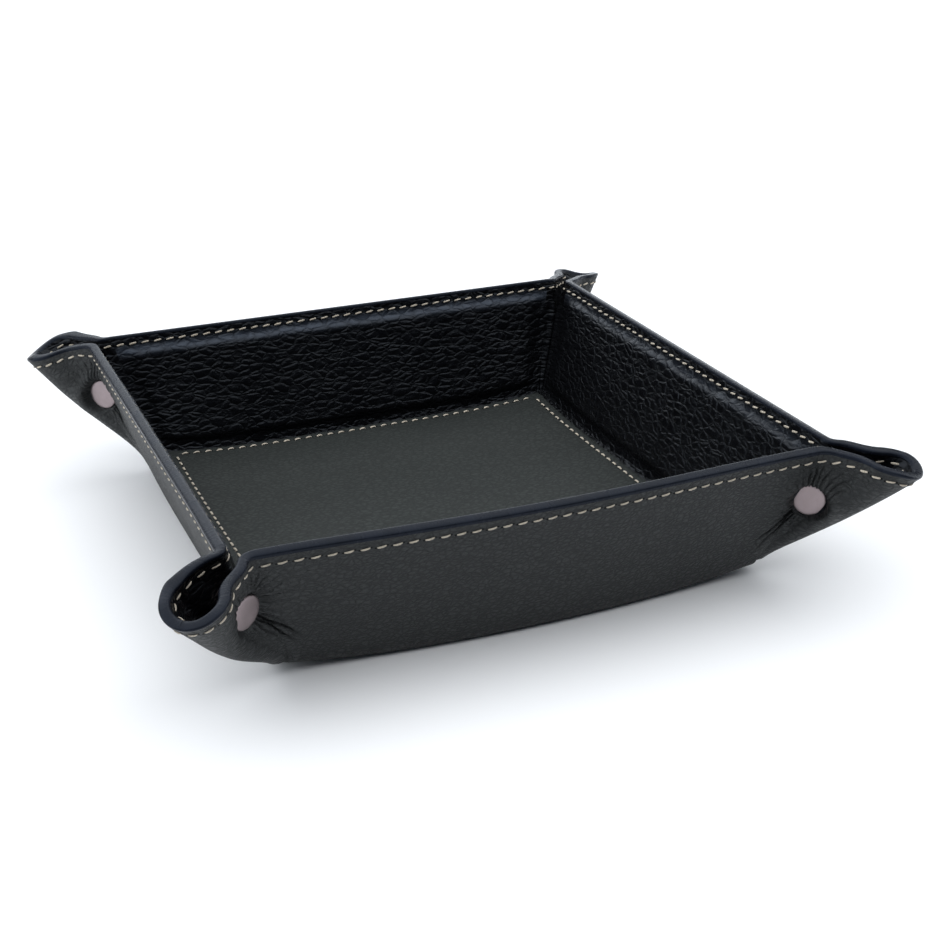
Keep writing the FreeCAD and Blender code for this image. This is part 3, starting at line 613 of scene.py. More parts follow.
def makePlain(name, look, onSheet, colourBy="Cloud", shineBy="Cloud"):
    # colour and shine, each from one output of the mottle
    material, tree, shader = newMaterial(name, look)
    place = sheetPlace(tree) if onSheet else addNode(tree, "ShaderNodeTexCoord", {})["Object"]
    mottle = placeGroup(tree, mottleGroup, place, {"Scale": look["mottle"]})
    feed(tree, shader, {"Base Color": blendColour(tree, mottle[colourBy], look),
                        "Roughness": ranged(tree, mottle[shineBy], *look["rough"])})
    return material, tree, shader, place, mottle


paintLook = {
    "deep": (0.0030, 0.0037, 0.0058), "pale": (0.009, 0.011, 0.018), "span": (0.3, 0.75),
    "rough": (0.20, 0.34), "specular": 0.16, "tint": (0.68, 0.8, 1.0), "mottle": 9.0,
    "ridgeStretch": (1.0, 0.12, 1.0), "ridgeScale": 160.0, "speck": 0.6,
    "bump": 0.5, "bumpDepth": 0.00022,
}


def makeEdgePaint():
    # brushed-on paint: fine ridges across the edge, cloudy shine and small rubbed specks
    material, tree, shader, sheet, mottle = makePlain("edgePaint", paintLook, True)
    stretched = addNode(tree, "ShaderNodeMapping", {0: sheet, "Scale": paintLook["ridgeStretch"]})[0]
    ridges = addNode(tree, "ShaderNodeTexNoise", {
        "Vector": stretched, "Scale": paintLook["ridgeScale"], "Detail": 3.0})["Fac"]
    speck = mathNode(tree, "MULTIPLY", mottle["Speck"], paintLook["speck"])
    height = mathNode(tree, "ADD", ridges, speck)
    feed(tree, shader, {"Normal": bumpNode(tree, height, paintLook)})
    return material


threadLook = {
    "deep": (0.40, 0.33, 0.24), "pale": (0.72, 0.65, 0.54), "span": (0.12, 0.6),
    "rough": (0.62, 0.82), "specular": 0.25, "sheen": 0.2, "mottle": 2.0,
    "twist": 9.0, "bands": 0.6, "cloud": 0.4, "bump": 0.6, "bumpDepth": 0.0001,
}


def makeThread():
    # twisted strands: slanting bands along the stitch, with painted shade between the strands
    material, tree, shader = newMaterial("creamThread", threadLook)
    sheet = sheetPlace(tree)
    bands = addNode(tree, "ShaderNodeTexWave", {
        "Vector": sheet, "Scale": threadLook["twist"], "Distortion": 0.6, "Detail": 1.0},
        wave_type="BANDS", bands_direction="DIAGONAL")["Fac"]
    mottle = placeGroup(tree, mottleGroup, sheet, {"Scale": threadLook["mottle"]})
    strands = mathNode(tree, "MULTIPLY", bands, threadLook["bands"])
    cloud = mathNode(tree, "MULTIPLY", mottle["Cloud"], threadLook["cloud"])
    feed(tree, shader, {
        "Base Color": blendColour(tree, mathNode(tree, "ADD", strands, cloud), threadLook),
        "Roughness": ranged(tree, mottle["Speck"], *threadLook["rough"]),
        "Sheen Weight": threadLook["sheen"], "Normal": bumpNode(tree, bands, threadLook)})
    return material


snapLook = {
    "deep": (0.275, 0.228, 0.234), "pale": (0.335, 0.278, 0.286), "span": (0.35, 0.65),
    "rough": (0.34, 0.46), "specular": 0.5, "mottle": 180.0, "bump": 0.12, "bumpDepth": 0.00006,
}


def makeSnapMetal():
    # satin nickel: metal with cloudy shine and fine specks from handling
    material, tree, shader, _, mottle = makePlain("satinNickel", snapLook, False)
    feed(tree, shader, {"Metallic": 1.0, "Normal": bumpNode(tree, mottle["Speck"], snapLook)})
    return material


edgePaint, creamThread, satinNickel = makeEdgePaint(), makeThread(), makeSnapMetal()
# painted shade: a near-black patch stands for the shadow in the needle hole where the thread goes through
needleHoleShade = makePlain("needleHoleShade", {
    "deep": (0.002, 0.002, 0.002), "pale": (0.006, 0.006, 0.006), "span": (0.3, 0.7),
    "rough": (0.8, 0.95), "specular": 0.1, "mottle": 3.0}, True, shineBy="Speck")[0]
# pressed paper board, hidden between the leathers
greyBoard = makePlain("greyBoard", {
    "deep": (0.26, 0.23, 0.19), "pale": (0.38, 0.34, 0.28), "span": (0.3, 0.7),
    "rough": (0.75, 0.9), "specular": 0.2, "mottle": 60.0}, False, colourBy="Speck")[0]
print("stage: materials made")


# Walls

wallForm = {
    "foldRows": 12, "faceCount": (96, 300), "liningCount": (60, 200),  # rows and columns
    "crowd": 0.6,  # columns stand closer near the ends
    "swell": 1.2,  # lining over the board
    "swellFoot": (5.5, 3.0), "swellTop": 39.2, "topRun": 2.3, "swellEnd": 4.5, "endRun": 6.0,
    "waves": [(0.25, 0.11, 0), (0.15, 0.31, 1)],  # uneven top of the swell: size, rate and start
    "stitchInset": 3.6, "stitchPitch": 4.25, "stitchSize": (3.1, 0.64, 0.4),
    # painted sheen: a pale band under the stitches stands for the highlight where the lining turns up over
    # the board, set per wall
    "sheenByWall": [0.6, 0.25, 1.0, 0.6], "sheenUp": (40.9, 1.5),  # pale band under the stitches
}
boardForm = {
    "thick": 1.2, "foot": foldTangent + 2.5, "head": slant - 8.5, "end": 4.5, "rows": 24, "columns": 80,
    "gap": 0.02, "floorHalf": flatHalf - 1.6, "floorCount": 61, "floorGap": 0.03,
}
edgeForm = {
    "count": 15, "power": 0.62, "proud": 1.04, "backWidth": 0.7, "backLift": 0.6, "backDrop": 0.5,
    "sheetHeight": 3.0,
}


def wallSpot(x, v, depth, wall):
    # local wall place to the world: x along, v up the slope, depth into the tray from the outer face
    c, s = sin(lean), cos(lean)
    y = -halfFloor - v * c + depth * s
    z = v * s + depth * c
    return quarterTurn(spread(x, y, z), wall)


def wallGrid(wall, depth, rows, columns):
    # rows go round the fold arc and then straight up the slope, columns from end to end and closer
    # together near the ends; depth is a number or a function of place along and up the wall
    turn = np.linspace(0, foldAngle, wallForm["foldRows"])[:-1]
    up = np.linspace(foldTangent, slant - edgeDrop, rows)
    across = np.linspace(-1, 1, columns)
    across = across + wallForm["crowd"] * np.sin(np.pi * across) / np.pi
    foldEnds = cupAxis + (wallHalf(foldTangent) - cupAxis) * turn / foldAngle
    x = across * np.concatenate([foldEnds, wallHalf(up)])[:, None]
    v = np.concatenate([foldTangent * turn / foldAngle, up])[:, None] + 0 * x
    deep = depth(x, v) if callable(depth) else depth + 0 * x
    count = len(turn)
    own = foldRadius - deep[:count]
    turn = turn[:, None]
    arc = spread(x[:count], -flatHalf - own * np.sin(turn), foldRadius - own * np.cos(turn))
    face = wallSpot(x[count:], v[count:], deep[count:], 0)
    uv = spread(x + sheetStep * wall, v) * sheetScale
    return quarterTurn(np.concatenate([arc, face]), wall), uv, x, v


def liningDepth(x, v):
    # both leathers, plus a swell over the board with soft slopes on all four sides
    ends = wallHalf(np.maximum(v, foldTangent)) - wallForm["swellEnd"]
    wave = sum(size * np.sin(x * rate + start) for size, rate, start in wallForm["waves"])
    swell = (rise(v, *wallForm["swellFoot"])
             * smooth((ends - np.abs(x)) / wallForm["endRun"] + 0.5)
             * smooth((wallForm["swellTop"] + wallForm["topRun"] + wave - v) / wallForm["topRun"]))
    return 2 * skin + wallForm["swell"] * swell


def wallBoard(wall, depth):
    # flat slab: rows up the slope, columns from end to end
    v = np.linspace(boardForm["foot"], boardForm["head"], boardForm["rows"])[:, None]
    x = np.linspace(-1, 1, boardForm["columns"]) * (wallHalf(v) - boardForm["end"])
    return settle(wallSpot(x, v, depth, wall)), spread(x, v) * sheetScale


def wallBlend(piece):
    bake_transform(piece)


def paintedEdge(name, outerLine, liningLine, upward, along):
    # rounded edge: a flattened half oval from the outer face over the top to the lining
    form = edgeForm
    angle = np.linspace(0, pi, form["count"])
    across = (np.sign(np.cos(angle)) * np.abs(np.cos(angle)) ** form["power"])[:, None, None]
    lift = (np.sin(angle) ** form["power"])[:, None, None]
    middle, half = (outerLine + liningLine) / 2, (outerLine - liningLine) / 2
    face = middle + half * form["proud"] * across + upward * edgeDrop * lift
    back = (middle + half * form["backWidth"] * across
            + upward * edgeDrop * (lift * form["backLift"] - form["backDrop"]))
    uv = spread(along, (form["sheetHeight"] * angle / pi)[:, None]) * sheetScale
    return shell(name, [(face, back, uv)], edgePaint)


def snapSheet():
    # where the snap lies on the flat sheet: out from the wall's middle, and up the slope
    lining, bendRadius = stationValues(snapAt)[:2]
    flatStart = bendFoot(lining + skin, bendRadius)[1]
    q = bendRadius * bend + earForm["snapReach"] - flatStart
    endX, endV = wallEnd(snapAt)
    return halfFloor - endX + q * cos(crease), endV - q * sin(crease)


def faceNormals(face, back):
    normal = unit(np.cross(np.gradient(face, axis=1), np.gradient(face, axis=0)))
    return normal * np.sign(np.sum(normal * (face - back), -1).mean())


snapOut, snapUp = snapSheet()
wallFaces = {}
for wall, side in enumerate(walls):
    name = f"{side}_wall"
    size = wallForm["faceCount"]
    outer, uv, x, v = wallGrid(wall, 0.0, *size)
    glue = wallGrid(wall, skin, *size)[0]
    for corner, facing in ((wall, 1), (wall + 1, -1)):
        outer = pressSnap(outer, corner, facing, 0)
    seeds = ((wall, -1), (wall + creaseForm["rightSeed"], 1))
    groove = np.maximum(*(creaseDepth(x * facing - snapOut, v - snapUp, seed) for seed, facing in seeds))
    outer = settle(outer - faceNormals(outer, glue) * groove[..., None])
    glue = settle(glue)
    # the groove depths also paint shade along the creases
    piece = shell(f"{name}_outer_skin", [(outer, glue, uv)], outerLeather,
                  f"{name}_outer_leather", fold=groove)
    wallBlend(piece)
    plain = settle(wallGrid(wall, 2 * skin, *size)[0][-1])
    size = wallForm["liningCount"]
    inside, uv, _, insideV = wallGrid(wall, liningDepth, *size)
    inside, back = settle(inside), settle(wallGrid(wall, skin, *size)[0])
    # painted sheen: how strongly the pale band under the stitches shows on this wall
    sheenBand = wallForm["sheenByWall"][wall] * bell(insideV, *wallForm["sheenUp"])
    piece = shell(f"{name}_lining_skin", [(inside, back, uv)], liningLeather,
                  f"{name}_lining", fold=sheenBand)
    wallBlend(piece)
    near, uv = wallBoard(wall, skin + boardForm["gap"])
    far = wallBoard(wall, skin + boardForm["thick"])[0]
    shell(f"{name}_board_slab", [(near, far, uv)], greyBoard, f"{name}_board", name)
    upward = quarterTurn(np.array([0, -sin(lean), cos(lean)]), wall)
    piece = paintedEdge(f"{name}_painted_edge", outer[-1], plain, upward, x[-1] + sheetStep * wall)
    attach(piece, name)
    wallFaces[wall] = (outer, glue, inside)
print("stage: walls made")


# Ears

capForm = {  # domed disc with a rounded rim, from the middle of the top to the back
    "radius": np.array([0, 1.2, 2.4, 3.4, 4.1, 4.55, 4.8, 4.94, 5.0, 4.97, 4.8, 3.5, 1.7, 0]),
    "height": np.array([1.24, 1.23, 1.2, 1.15, 1.09, 1.02, 0.92, 0.78, 0.6, 0.42, 0.3, 0.1, 0.0, 0.0]),
    "segments": 56, "sharp": 50,
}
stitchForm = {
    "rings": 7, "around": 6, "taper": 2.6, "thin": 0.03, "crown": 0.5, "dip": 0.95, "body": 0.55,
    "sheetGap": 7.3, "slope": 0.16, "hole": (0.8, 0.46, 0.1), "sharp": 80,
    "aim": 0.6,  # a stitch points along the row between places this far either side
}


def earNeck(e, w, side, corner):
    # some halves stand further apart at the rim
    size, centre, run = earForm["neck"].get((corner % 4, side), (0, 1, 6))
    return side * size * bell(e, centre, run) * rise(w, *earForm["neckUp"])


def earFace(corner, side, offset, rows, columns):
    # columns run along the section from the wall's end to the fold, rows from the foot to the edge
    share = np.linspace(0, 1, columns)
    top = earTop(share) - edgeDrop
    foot = earForm["footStation"][int(offset < 0)]
    w = foot + np.linspace(0, 1, rows)[:, None] * (top - foot)
    e, n, q = earSection(share + 0 * w, w, offset)
    if offset == -skin:
        closed = bell(e, *earForm["closeOut"]) * (1 - rise(w, *earForm["closeUp"]))
        n = n - (n - seam) * closed
    n = n * side + earNeck(e, w, side, corner) * smooth(q / earForm["neckRun"])
    endX, endV = wallEnd(w)
    out, high = halfFloor - endX + q * cos(crease), endV - q * sin(crease)
    return earToWorld(e, n, w, corner), spread(-out * side, high), q, w


def earBlendPoints(corner, side):
    # start on the wall's end line, end a little past the bend, measured in the wall's own plane
    wall = corner if side > 0 else corner - 1
    low, high = (np.array([wallEnd(w)[0] - halfFloor, wallEnd(w)[1]]) for w in (footAt, topAt))
    run = unit(high - low)
    outward = np.array([-run[1], run[0]])
    outward = outward if outward[0] < 0 else -outward
    ends = (low + outward * reach for reach in (0.0, earForm["blendReach"]))
    return [tuple(wallSpot(np.array(side * x), np.array(v), 0.0, wall) * mm) for x, v in ends]


def snapCap(name, centre, axis):
    # a profile carried round an axis; the ends of the profile meet the axis
    r, h, segments = capForm["radius"], capForm["height"], capForm["segments"]
    side = unit(np.cross(axis, [0, 0, 1.0]))
    angle = np.linspace(0, 2 * pi, segments, endpoint=False)[:, None]
    ring = np.cos(angle) * side + np.sin(angle) * np.cross(axis, side)
    points = centre + r[:, None, None] * ring[None] + h[:, None, None] * axis
    ends = points[[0, -1]].mean(1)
    rows = len(r) - 2
    a, b, quads = ringQuads(rows, segments)
    tip, tail = rows * segments, rows * segments + 1
    faces = quads.tolist() + [[tip, p, n] for p, n in zip(a[0].tolist(), b[0].tolist())]
    faces += [[tail, n, p] for p, n in zip(a[-1].tolist(), b[-1].tolist())]
    points = np.concatenate([points[1:-1].reshape(-1, 3), ends])
    return putMesh(name, points, faces, None, satinNickel, capForm["sharp"])


def bars(middles, run, across, normal, length, width, height):
    # bars of rings of points: an oval that thins and dips at both ends
    form = stitchForm
    t = np.linspace(-1, 1, form["rings"])
    angle = np.linspace(0, 2 * pi, form["around"], endpoint=False)
    fat = np.sqrt(np.clip(1 - np.abs(t) ** form["taper"], form["thin"], 1))[:, None]
    lift = height * (form["crown"] - form["dip"] * np.abs(t) ** 3)[:, None]
    ahead = (t * length / 2)[None, :, None]
    aside = (fat * np.cos(angle) * width / 2)[None, :, :, None]
    above = (lift + fat * np.sin(angle) * height * form["body"])[None, :, :, None]
    grid = (middles[:, None, None] + run[:, None, None] * ahead[..., None]
            + across[:, None, None] * aside + normal[:, None, None] * above)
    u = ahead + form["sheetGap"] * np.arange(len(middles))[:, None, None] + 0 * angle
    return grid.reshape(-1, 3), spread(u, angle * width / 2).reshape(-1, 2)


def stitchRow(name, middles, along, normal, size, slope=stitchForm["slope"]):
    # a slanting thread bar for each stitch, and at both of its ends a near-black patch of painted shade for
    # the needle hole
    run = along * cos(slope) + np.cross(normal, along) * sin(slope)
    across = np.cross(normal, run)
    thread, threadUv = bars(middles, run, across, normal, *size)
    ends = np.concatenate([middles - run * size[0] * 0.5, middles + run * size[0] * 0.5])
    twice = [np.concatenate([part, part]) for part in (run, across, normal)]
    holes, holeUv = bars(ends, *twice, *stitchForm["hole"])
    count = len(middles)
    a, _, sides = ringQuads(stitchForm["rings"], stitchForm["around"])
    first, last = a[0], a[-1]
    one = np.concatenate([sides, [first[[3, 2, 1, 0]], first[[5, 4, 3, 0]], last[[0, 1, 2, 3]],
                                  last[[0, 3, 4, 5]]]])
    quads = (one[None, :, ::-1] + a.size * np.arange(3 * count)[:, None, None]).reshape(-1, 4)
    piece = putMesh(name, np.concatenate([thread, holes]), quads, np.concatenate([threadUv, holeUv]),
                    creamThread, stitchForm["sharp"])
    piece.data.materials.append(needleHoleShade)
    kinds = np.repeat([0, 1], [count * len(one), 2 * count * len(one)]).astype(np.int32)
    piece.data.polygons.foreach_set("material_index", kinds)
    dress(piece)
    return piece


def alongPath(points, normals, pitch):
    # whole steps close to the pitch along a polyline: middle, direction and normal at each
    length = np.concatenate([[0], np.cumsum(np.linalg.norm(np.diff(points, axis=0), axis=1))])
    count = round(length[-1] / pitch)
    at = (np.arange(count) + 0.5) * length[-1] / count
    pick = lambda values, spots: np.stack([np.interp(spots, length, values[:, i]) for i in range(3)], -1)
    along = unit(pick(points, at + stitchForm["aim"]) - pick(points, at - stitchForm["aim"]))
    normal = pick(normals, at)
    normal = normal - along * np.sum(normal * along, 1, keepdims=True)
    return pick(points, at), along, unit(normal)


for wall, side in enumerate(walls):
    for end, facing, corner in (("left", 1, wall), ("right", -1, wall + 1)):
        name = f"{side}_wall_{end}_ear"
        start, finish = earBlendPoints(corner, facing)
        bendWith = lambda piece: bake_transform(piece)
        size = earForm["faceCount"]
        outerFace, sheet, q, w = earFace(corner, facing, skin, *size)
        glueFace = pressSnap(earFace(corner, facing, 0, *size)[0], corner, facing, skin)
        outerFace = pressSnap(outerFace, corner, facing, 0)
        seed = wall if end == "left" else wall + creaseForm["rightSeed"]
        groove = creaseDepth(np.abs(sheet[..., 0]) - snapOut, sheet[..., 1] - snapUp, seed)
        outerFace = settle(outerFace - faceNormals(outerFace, glueFace) * groove[..., None])
        glueFace = settle(glueFace)
        shift = [sheetStep * wall, 0]
        layer = (outerFace, glueFace, (sheet + shift) * sheetScale)
        # the groove depths also paint shade along the creases
        bendWith(shell(f"{name}_outer_skin", [layer], outerLeather,
                       f"{name}_outer_leather", fold=groove))
        size = earForm["liningCount"]
        insideFace, sheet, _, insideW = earFace(corner, facing, -skin, *size)
        insideFace = settle(insideFace)
        insideBack = settle(earFace(corner, facing, -trayForm["glueGap"], *size)[0])
        layer = (insideFace, insideBack, (sheet + shift) * sheetScale)
        bendWith(shell(f"{name}_lining_skin", [layer], liningLeather, f"{name}_lining"))
        liningLine = settle(earFace(corner, facing, -skin, *earForm["edgeCount"])[0][-1])
        along = unit(np.gradient(outerFace[-1], axis=0))
        upward = outerFace[-1] - outerFace[-earForm["edgeAim"]]
        upward = unit(upward - along * np.sum(upward * along, -1, keepdims=True))
        edgeAt = sheetStep * wall - facing * (wallHalf(slant) + q[-1])
        bendWith(paintedEdge(f"{name}_painted_edge", outerFace[-1], liningLine, upward, edgeAt))
        # stitches follow the top edge on both faces
        for label, face, back, high in (("outer", outerFace, glueFace, w),
                                        ("lining", insideFace, insideBack, insideW)):
            inset = wallForm["stitchInset"] - edgeDrop
            row = np.argmin(np.abs(high[-1:] - high - inset), axis=0)
            spots = row, np.arange(face.shape[1])
            middle, along, normal = alongPath(face[spots], faceNormals(face, back)[spots],
                                              wallForm["stitchPitch"])
            bendWith(stitchRow(f"{name}_{label}_stitches", middle, along * facing, normal,
                               wallForm["stitchSize"]))
        # the snap sits on the settled leather and turns with it
        seat = earToWorld(np.array(earForm["snapReach"]), np.array(facing * earForm["capSeat"][corner % 4]),
                          np.array(snapAt), corner)
        spot = settle(seat)
        plain = quarterTurn(acrossAxis, corner) * facing
        steps = [quarterTurn(a, corner) for a in (reachAxis, alongAxis)]
        axis = np.cross(*(settle(seat + step) - settle(seat - step) for step in steps))
        axis = axis * np.sign(axis @ plain) / np.linalg.norm(axis)
        piece = snapCap(f"{name}_snap_face", spot, axis)
        kind = "cap" if end == "left" else "post"
        dress(piece, f"{name}_snap_{kind}", name)
        turn = Vector(plain.tolist()).rotation_difference(Vector(axis.tolist())).to_matrix().to_4x4()
        move = Matrix.Translation((spot * mm).tolist()) @ turn @ Matrix.Translation((-seat * mm).tolist())
        for node in (f"{name}_snap_{hidden}" for hidden in ("socket", "spring", "stud")):
            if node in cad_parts:
                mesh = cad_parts[node].data.copy()
                mesh.materials.clear()
                mesh.materials.append(satinNickel)
                mesh.transform(move)
                piece = addObject(f"{node}_set", mesh)
                dress(piece, node, name)
print("stage: ears and snaps made")


# Wall stitching

for wall, side in enumerate(walls):
    outer, glue, inside = wallFaces[wall]
    behind = inside + quarterTurn(np.array([0, -1.0, 0]), wall)
    for label, face, back in (("outer", outer, glue), ("lining", inside, behind)):
        first = wallForm["foldRows"] - 1
        heights = np.linspace(foldTangent, slant - edgeDrop, len(face) - first)
        row = first + int(np.argmin(np.abs(heights - (slant - wallForm["stitchInset"]))))
        middle, along, normal = alongPath(face[row], faceNormals(face, back)[row], wallForm["stitchPitch"])
        piece = stitchRow(f"{side}_wall_{label}_stitches", middle, along, normal, wallForm["stitchSize"])
        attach(piece, f"{side}_wall")
    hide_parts(f"{side}_wall_stitching")


# Floor: outer sheet, lining, board and pad

floorForm = {
    "count": 81, "crowd": 1.35, "swellHalf": 71.0, "swellRun": 1.4, "liningGap": 0.02,
    "outerSheet": 20, "liningSheet": 30, "padSheet": 40,  # patches of the sheet, in 100 mm
    "cupCount": (17, 13), "cupArc": 0.96, "cupSheet": (0.25, 0.1),
    "pad": 70.3, "padThick": 1.5, "padCount": 161, "padGap": 0.02, "padSpread": 0.1,
    "padRound": 2.0, "padPull": 0.7,  # corners drawn in
    "rag": 0.16, "ragFrom": 0.999, "ragX": (1.9, 0.7), "ragY": (2.1, 0.6),  # uneven cut edge
    "padStitchInset": 3.0, "padPitch": 4.0, "padStitch": (2.7, 0.78, 0.5), "padSlope": 0.1,
    "dents": [(0.28, 3.0, 0.9), (0.35, 0.0, 0.7)],  # under the stitches and at the rim
    "threadSink": 0.2,
}


def cornerGrid(first, last, height):
    # two coordinates over the rows and columns of a floor corner
    rows, columns = floorForm["cupCount"]
    return np.meshgrid(np.linspace(first, last, rows), np.linspace(0, height, columns), indexing="ij")


def cup(inner):
    # round floor corner: the fold's arc turned a quarter round an upright axis
    turn, arc = cornerGrid(pi, 1.5 * pi, foldAngle * floorForm["cupArc"])
    radius = foldRadius - inner
    r = trayForm["cupRadius"] + radius * np.sin(arc)
    return spread(-cupAxis + r * np.cos(turn), -cupAxis + r * np.sin(turn),
                  foldRadius - radius * np.cos(arc))


def cupLayers(faceDepth, backDepth):
    flat = spread(*cornerGrid(0, *floorForm["cupSheet"]))
    face, back = cup(faceDepth), cup(backDepth)
    return [(settle(quarterTurn(face, k)), settle(quarterTurn(back, k)), flat + k) for k in range(4)]


side = np.linspace(-1, 1, floorForm["count"])
side = np.sign(side) * (1 - (1 - np.abs(side)) ** floorForm["crowd"])
x, y = np.meshgrid(side * flatHalf, side * flatHalf)
flatUv = spread(x, y) * sheetScale
under, middle = settle(spread(x, y, 0)), settle(spread(x, y, skin))
layers = [(under, middle, flatUv + floorForm["outerSheet"])] + cupLayers(0, skin)
shell("floor_outer_skin", layers, outerLeather, "floor_outer_leather", "floor")
rim = floorForm["swellHalf"] - np.maximum(np.abs(x), np.abs(y))
swell = smooth(rim / floorForm["swellRun"] + 0.5)
upper = settle(spread(x, y, 2 * skin + wallForm["swell"] * swell))
middle = middle + [0, 0, floorForm["liningGap"]]
layers = [(upper, middle, flatUv + floorForm["liningSheet"])] + cupLayers(2 * skin, skin)
shell("floor_lining_skin", layers, liningLeather, "floor_lining", "floor")

spots = np.linspace(-boardForm["floorHalf"], boardForm["floorHalf"], boardForm["floorCount"])
x, y = np.meshgrid(spots, spots)
high, low = (settle(spread(x, y, skin + boardForm[k])) for k in ("thick", "floorGap"))
layers = [(high, low, spread(x, y) * sheetScale)]
shell("floor_board_slab", layers, greyBoard, "floor_board", "floor")


def padGrid(level, extra):
    # square with small round corners, slightly uneven cut edge
    s = np.linspace(-1, 1, floorForm["padCount"])
    u, v = np.meshgrid(s, s)
    half, corner = floorForm["pad"] + extra, floorForm["padRound"]
    px, py = u * half, v * half
    beyond = np.hypot(np.maximum(np.abs(px) - half + corner, 0), np.maximum(np.abs(py) - half + corner, 0))
    pull = np.where(beyond > corner, (beyond - corner) * floorForm["padPull"], 0)
    px, py = px - np.sign(px) * pull, py - np.sign(py) * pull
    rag = floorForm["rag"] * (np.maximum(np.abs(u), np.abs(v)) > floorForm["ragFrom"])
    fast, slow = floorForm["ragX"]
    px = px + rag * np.sin(py * fast + np.sin(py * slow))
    fast, slow = floorForm["ragY"]
    py = py + rag * np.sin(px * fast + np.sin(px * slow))
    return spread(px, py, level)


padLevel = 2 * skin + wallForm["swell"] + floorForm["padGap"]
padFace = padLevel + floorForm["padThick"]
padTop = padGrid(padFace, 0.0)
edgeAway = floorForm["pad"] - np.maximum(np.abs(padTop[..., 0]), np.abs(padTop[..., 1]))
padTop[..., 2] -= sum(size * bell(edgeAway, at, width) for size, at, width in floorForm["dents"])
padUnder = settle(padGrid(padLevel, floorForm["padSpread"]))
layers = [(settle(padTop), padUnder, padTop[..., :2] * sheetScale + floorForm["padSheet"])]
shell("floor_pad", layers, padLeather, "base_pad", "floor")

half = floorForm["pad"] - floorForm["padStitchInset"]
count = int((2 * half - floorForm["padStitch"][0]) // floorForm["padPitch"]) + 1
spots = (np.arange(count) - (count - 1) / 2) * floorForm["padPitch"]
line = spread(spots, -half, padFace - floorForm["threadSink"])
middles = np.concatenate([quarterTurn(line, k) for k in range(4)])
runs = np.concatenate([quarterTurn(np.tile([1.0, 0, 0], (count, 1)), k) for k in range(4)])
ups = np.tile([0, 0, 1.0], (4 * count, 1))
piece = stitchRow("pad_stitches", settle(middles), runs, ups, floorForm["padStitch"], floorForm["padSlope"])
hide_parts("pad_stitching")
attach(piece, "floor")
print("stage: floor and pad made")


# Stage, light and camera

stageForm = {
    "floor": (0.94, 0.945, 0.955), "specular": 0.1, "rough": 0.9, "half": 4000.0, "drop": 0.05,
    "worldColour": (0.68, 0.82, 1.0), "world": 0.07,
    "hint": (0, 1, 0.02),  # a light's sides are square to this
    # each light's place, the point it faces, its size in metres, its power and its colour
    "lights": {
        "overheadBox": ((0, 0.2, 2.7), (0, 0.2, 0), (6.0, 6.0), 195.0, (0.97, 0.985, 1.0)),
        "backBox": ((0.4, 3.2, 1.15), (0, 0, 0.05), (5.0, 1.5), 42.0, (0.9, 0.95, 1.0)),
        "leftBox": ((-2.8, 0.5, 1.2), (0, 0, 0), (2.5, 2.0), 38.0, (0.92, 0.96, 1.0)),
        "rightBox": ((2.8, 0.3, 1.2), (0, 0, 0), (2.5, 2.0), 24.0, (0.92, 0.96, 1.0)),
    },
}
cameraForm = {"focalPixels": 1612.863, "imagePixels": 931, "azimuth": -22.735, "elevation": 23.563,
              "distance": 556.617, "lookAt": (25.773, 34.349, 0.0), "roll": -0.361,
              "sensor": 36.0, "clip": (0.02, 50)}


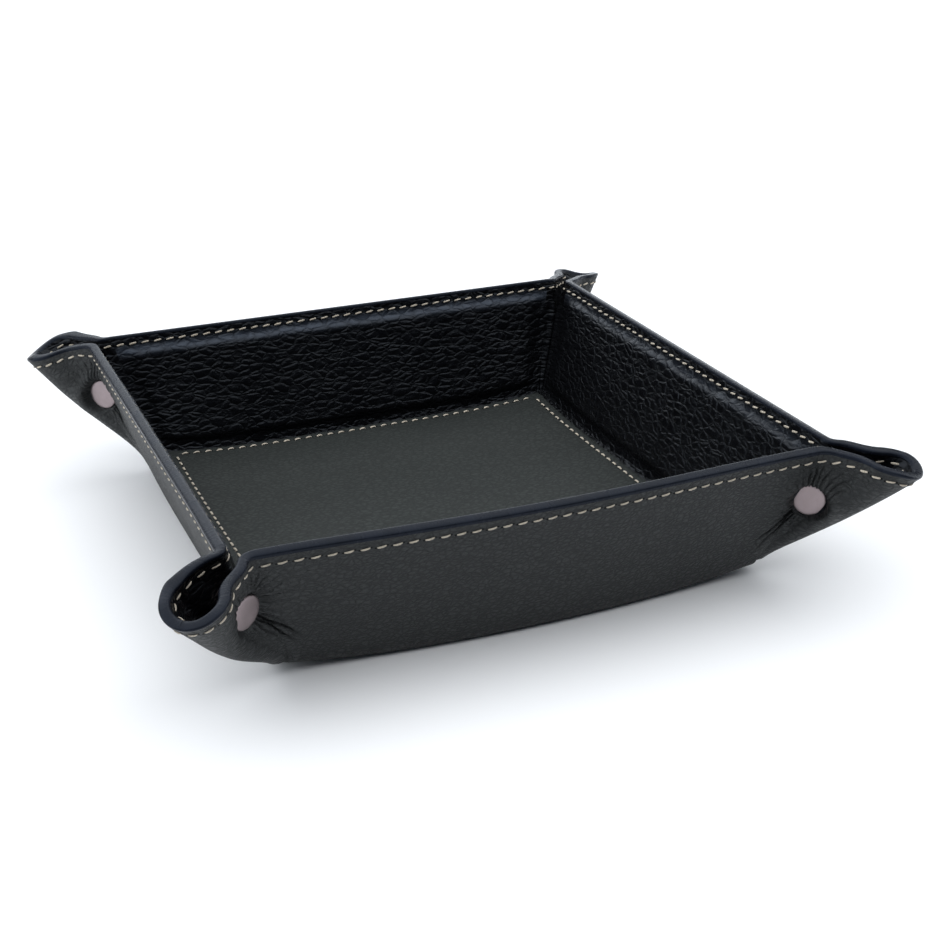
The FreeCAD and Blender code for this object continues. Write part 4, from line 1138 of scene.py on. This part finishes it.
def makeStage():
    # pale floor, lit softly from above; the far world is plain white
    s = np.linspace(-stageForm["half"], stageForm["half"], 3)
    fx, fy = np.meshgrid(s, s)
    points = spread(fx, fy, -stageForm["drop"]).reshape(-1, 3)
    material, tree, shader = newMaterial("paleFloor", stageForm)
    feed(tree, shader, {"Base Color": (*stageForm["floor"], 1), "Roughness": stageForm["rough"]})
    ground = putMesh("stage_floor", points, gridQuads(3, 3, 0), points[:, :2] * sheetScale, material)
    world = bpy.data.worlds.new("studio")
    bpy.context.scene.world = world
    world.use_nodes = True
    tree = world.node_tree
    light = tree.nodes["Background"]
    feed(tree, light.inputs, {"Color": (*stageForm["worldColour"], 1), "Strength": stageForm["world"]})
    seen = addNode(tree, "ShaderNodeBackground", {"Color": (1, 1, 1, 1), "Strength": 1.0})[0]
    straight = addNode(tree, "ShaderNodeLightPath", {})["Is Camera Ray"]
    pick = addNode(tree, "ShaderNodeMixShader", {0: straight, 1: light.outputs[0], 2: seen})[0]
    feed(tree, tree.nodes["World Output"].inputs, {"Surface": pick})


def stand(name, data, right, up, back, place):
    # puts a light or camera at a place in metres, looking away from back
    turn = np.eye(4)
    turn[:3] = np.stack([right, up, back, place], -1)
    holder = addObject(name, data)
    holder.matrix_world = Matrix(turn.tolist())
    return holder


def addSoftbox(name, place, aim, size, power, colour):
    lamp = bpy.data.lights.new(name, "AREA")
    lamp.shape, lamp.size, lamp.size_y = "RECTANGLE", size[0], size[1]
    lamp.energy, lamp.color = power, colour
    back = unit(np.array(place, float) - np.array(aim, float))
    right = unit(np.cross(stageForm["hint"], back))
    stand(name, lamp, right, np.cross(back, right), back, place)


def addCamera():
    # stands at the given angle and distance from the point looked at, with a little roll
    az, el, roll = (radians(cameraForm[k]) for k in ("azimuth", "elevation", "roll"))
    back = np.array([sin(az) * cos(el), -cos(az) * cos(el), sin(el)])
    right = np.array([cos(az), sin(az), 0])
    up = np.cross(back, right)
    right, up = (right * cos(roll) + up * sin(roll),
                 up * cos(roll) - right * sin(roll))
    lens = bpy.data.cameras.new("photoCamera")
    lens.sensor_width = cameraForm["sensor"]
    lens.lens = cameraForm["sensor"] * cameraForm["focalPixels"] / cameraForm["imagePixels"]
    lens.clip_start, lens.clip_end = cameraForm["clip"]
    place = (np.array(cameraForm["lookAt"]) + back * cameraForm["distance"]) * mm
    bpy.context.scene.camera = stand("photoCamera", lens, right, up, back, place)


makeStage()
for name, values in stageForm["lights"].items():
    addSoftbox(name, *values)
addCamera()
bpy.context.scene.view_settings.view_transform = "Standard"
print("stage: light and camera set")

bpy.context.view_layer.update()
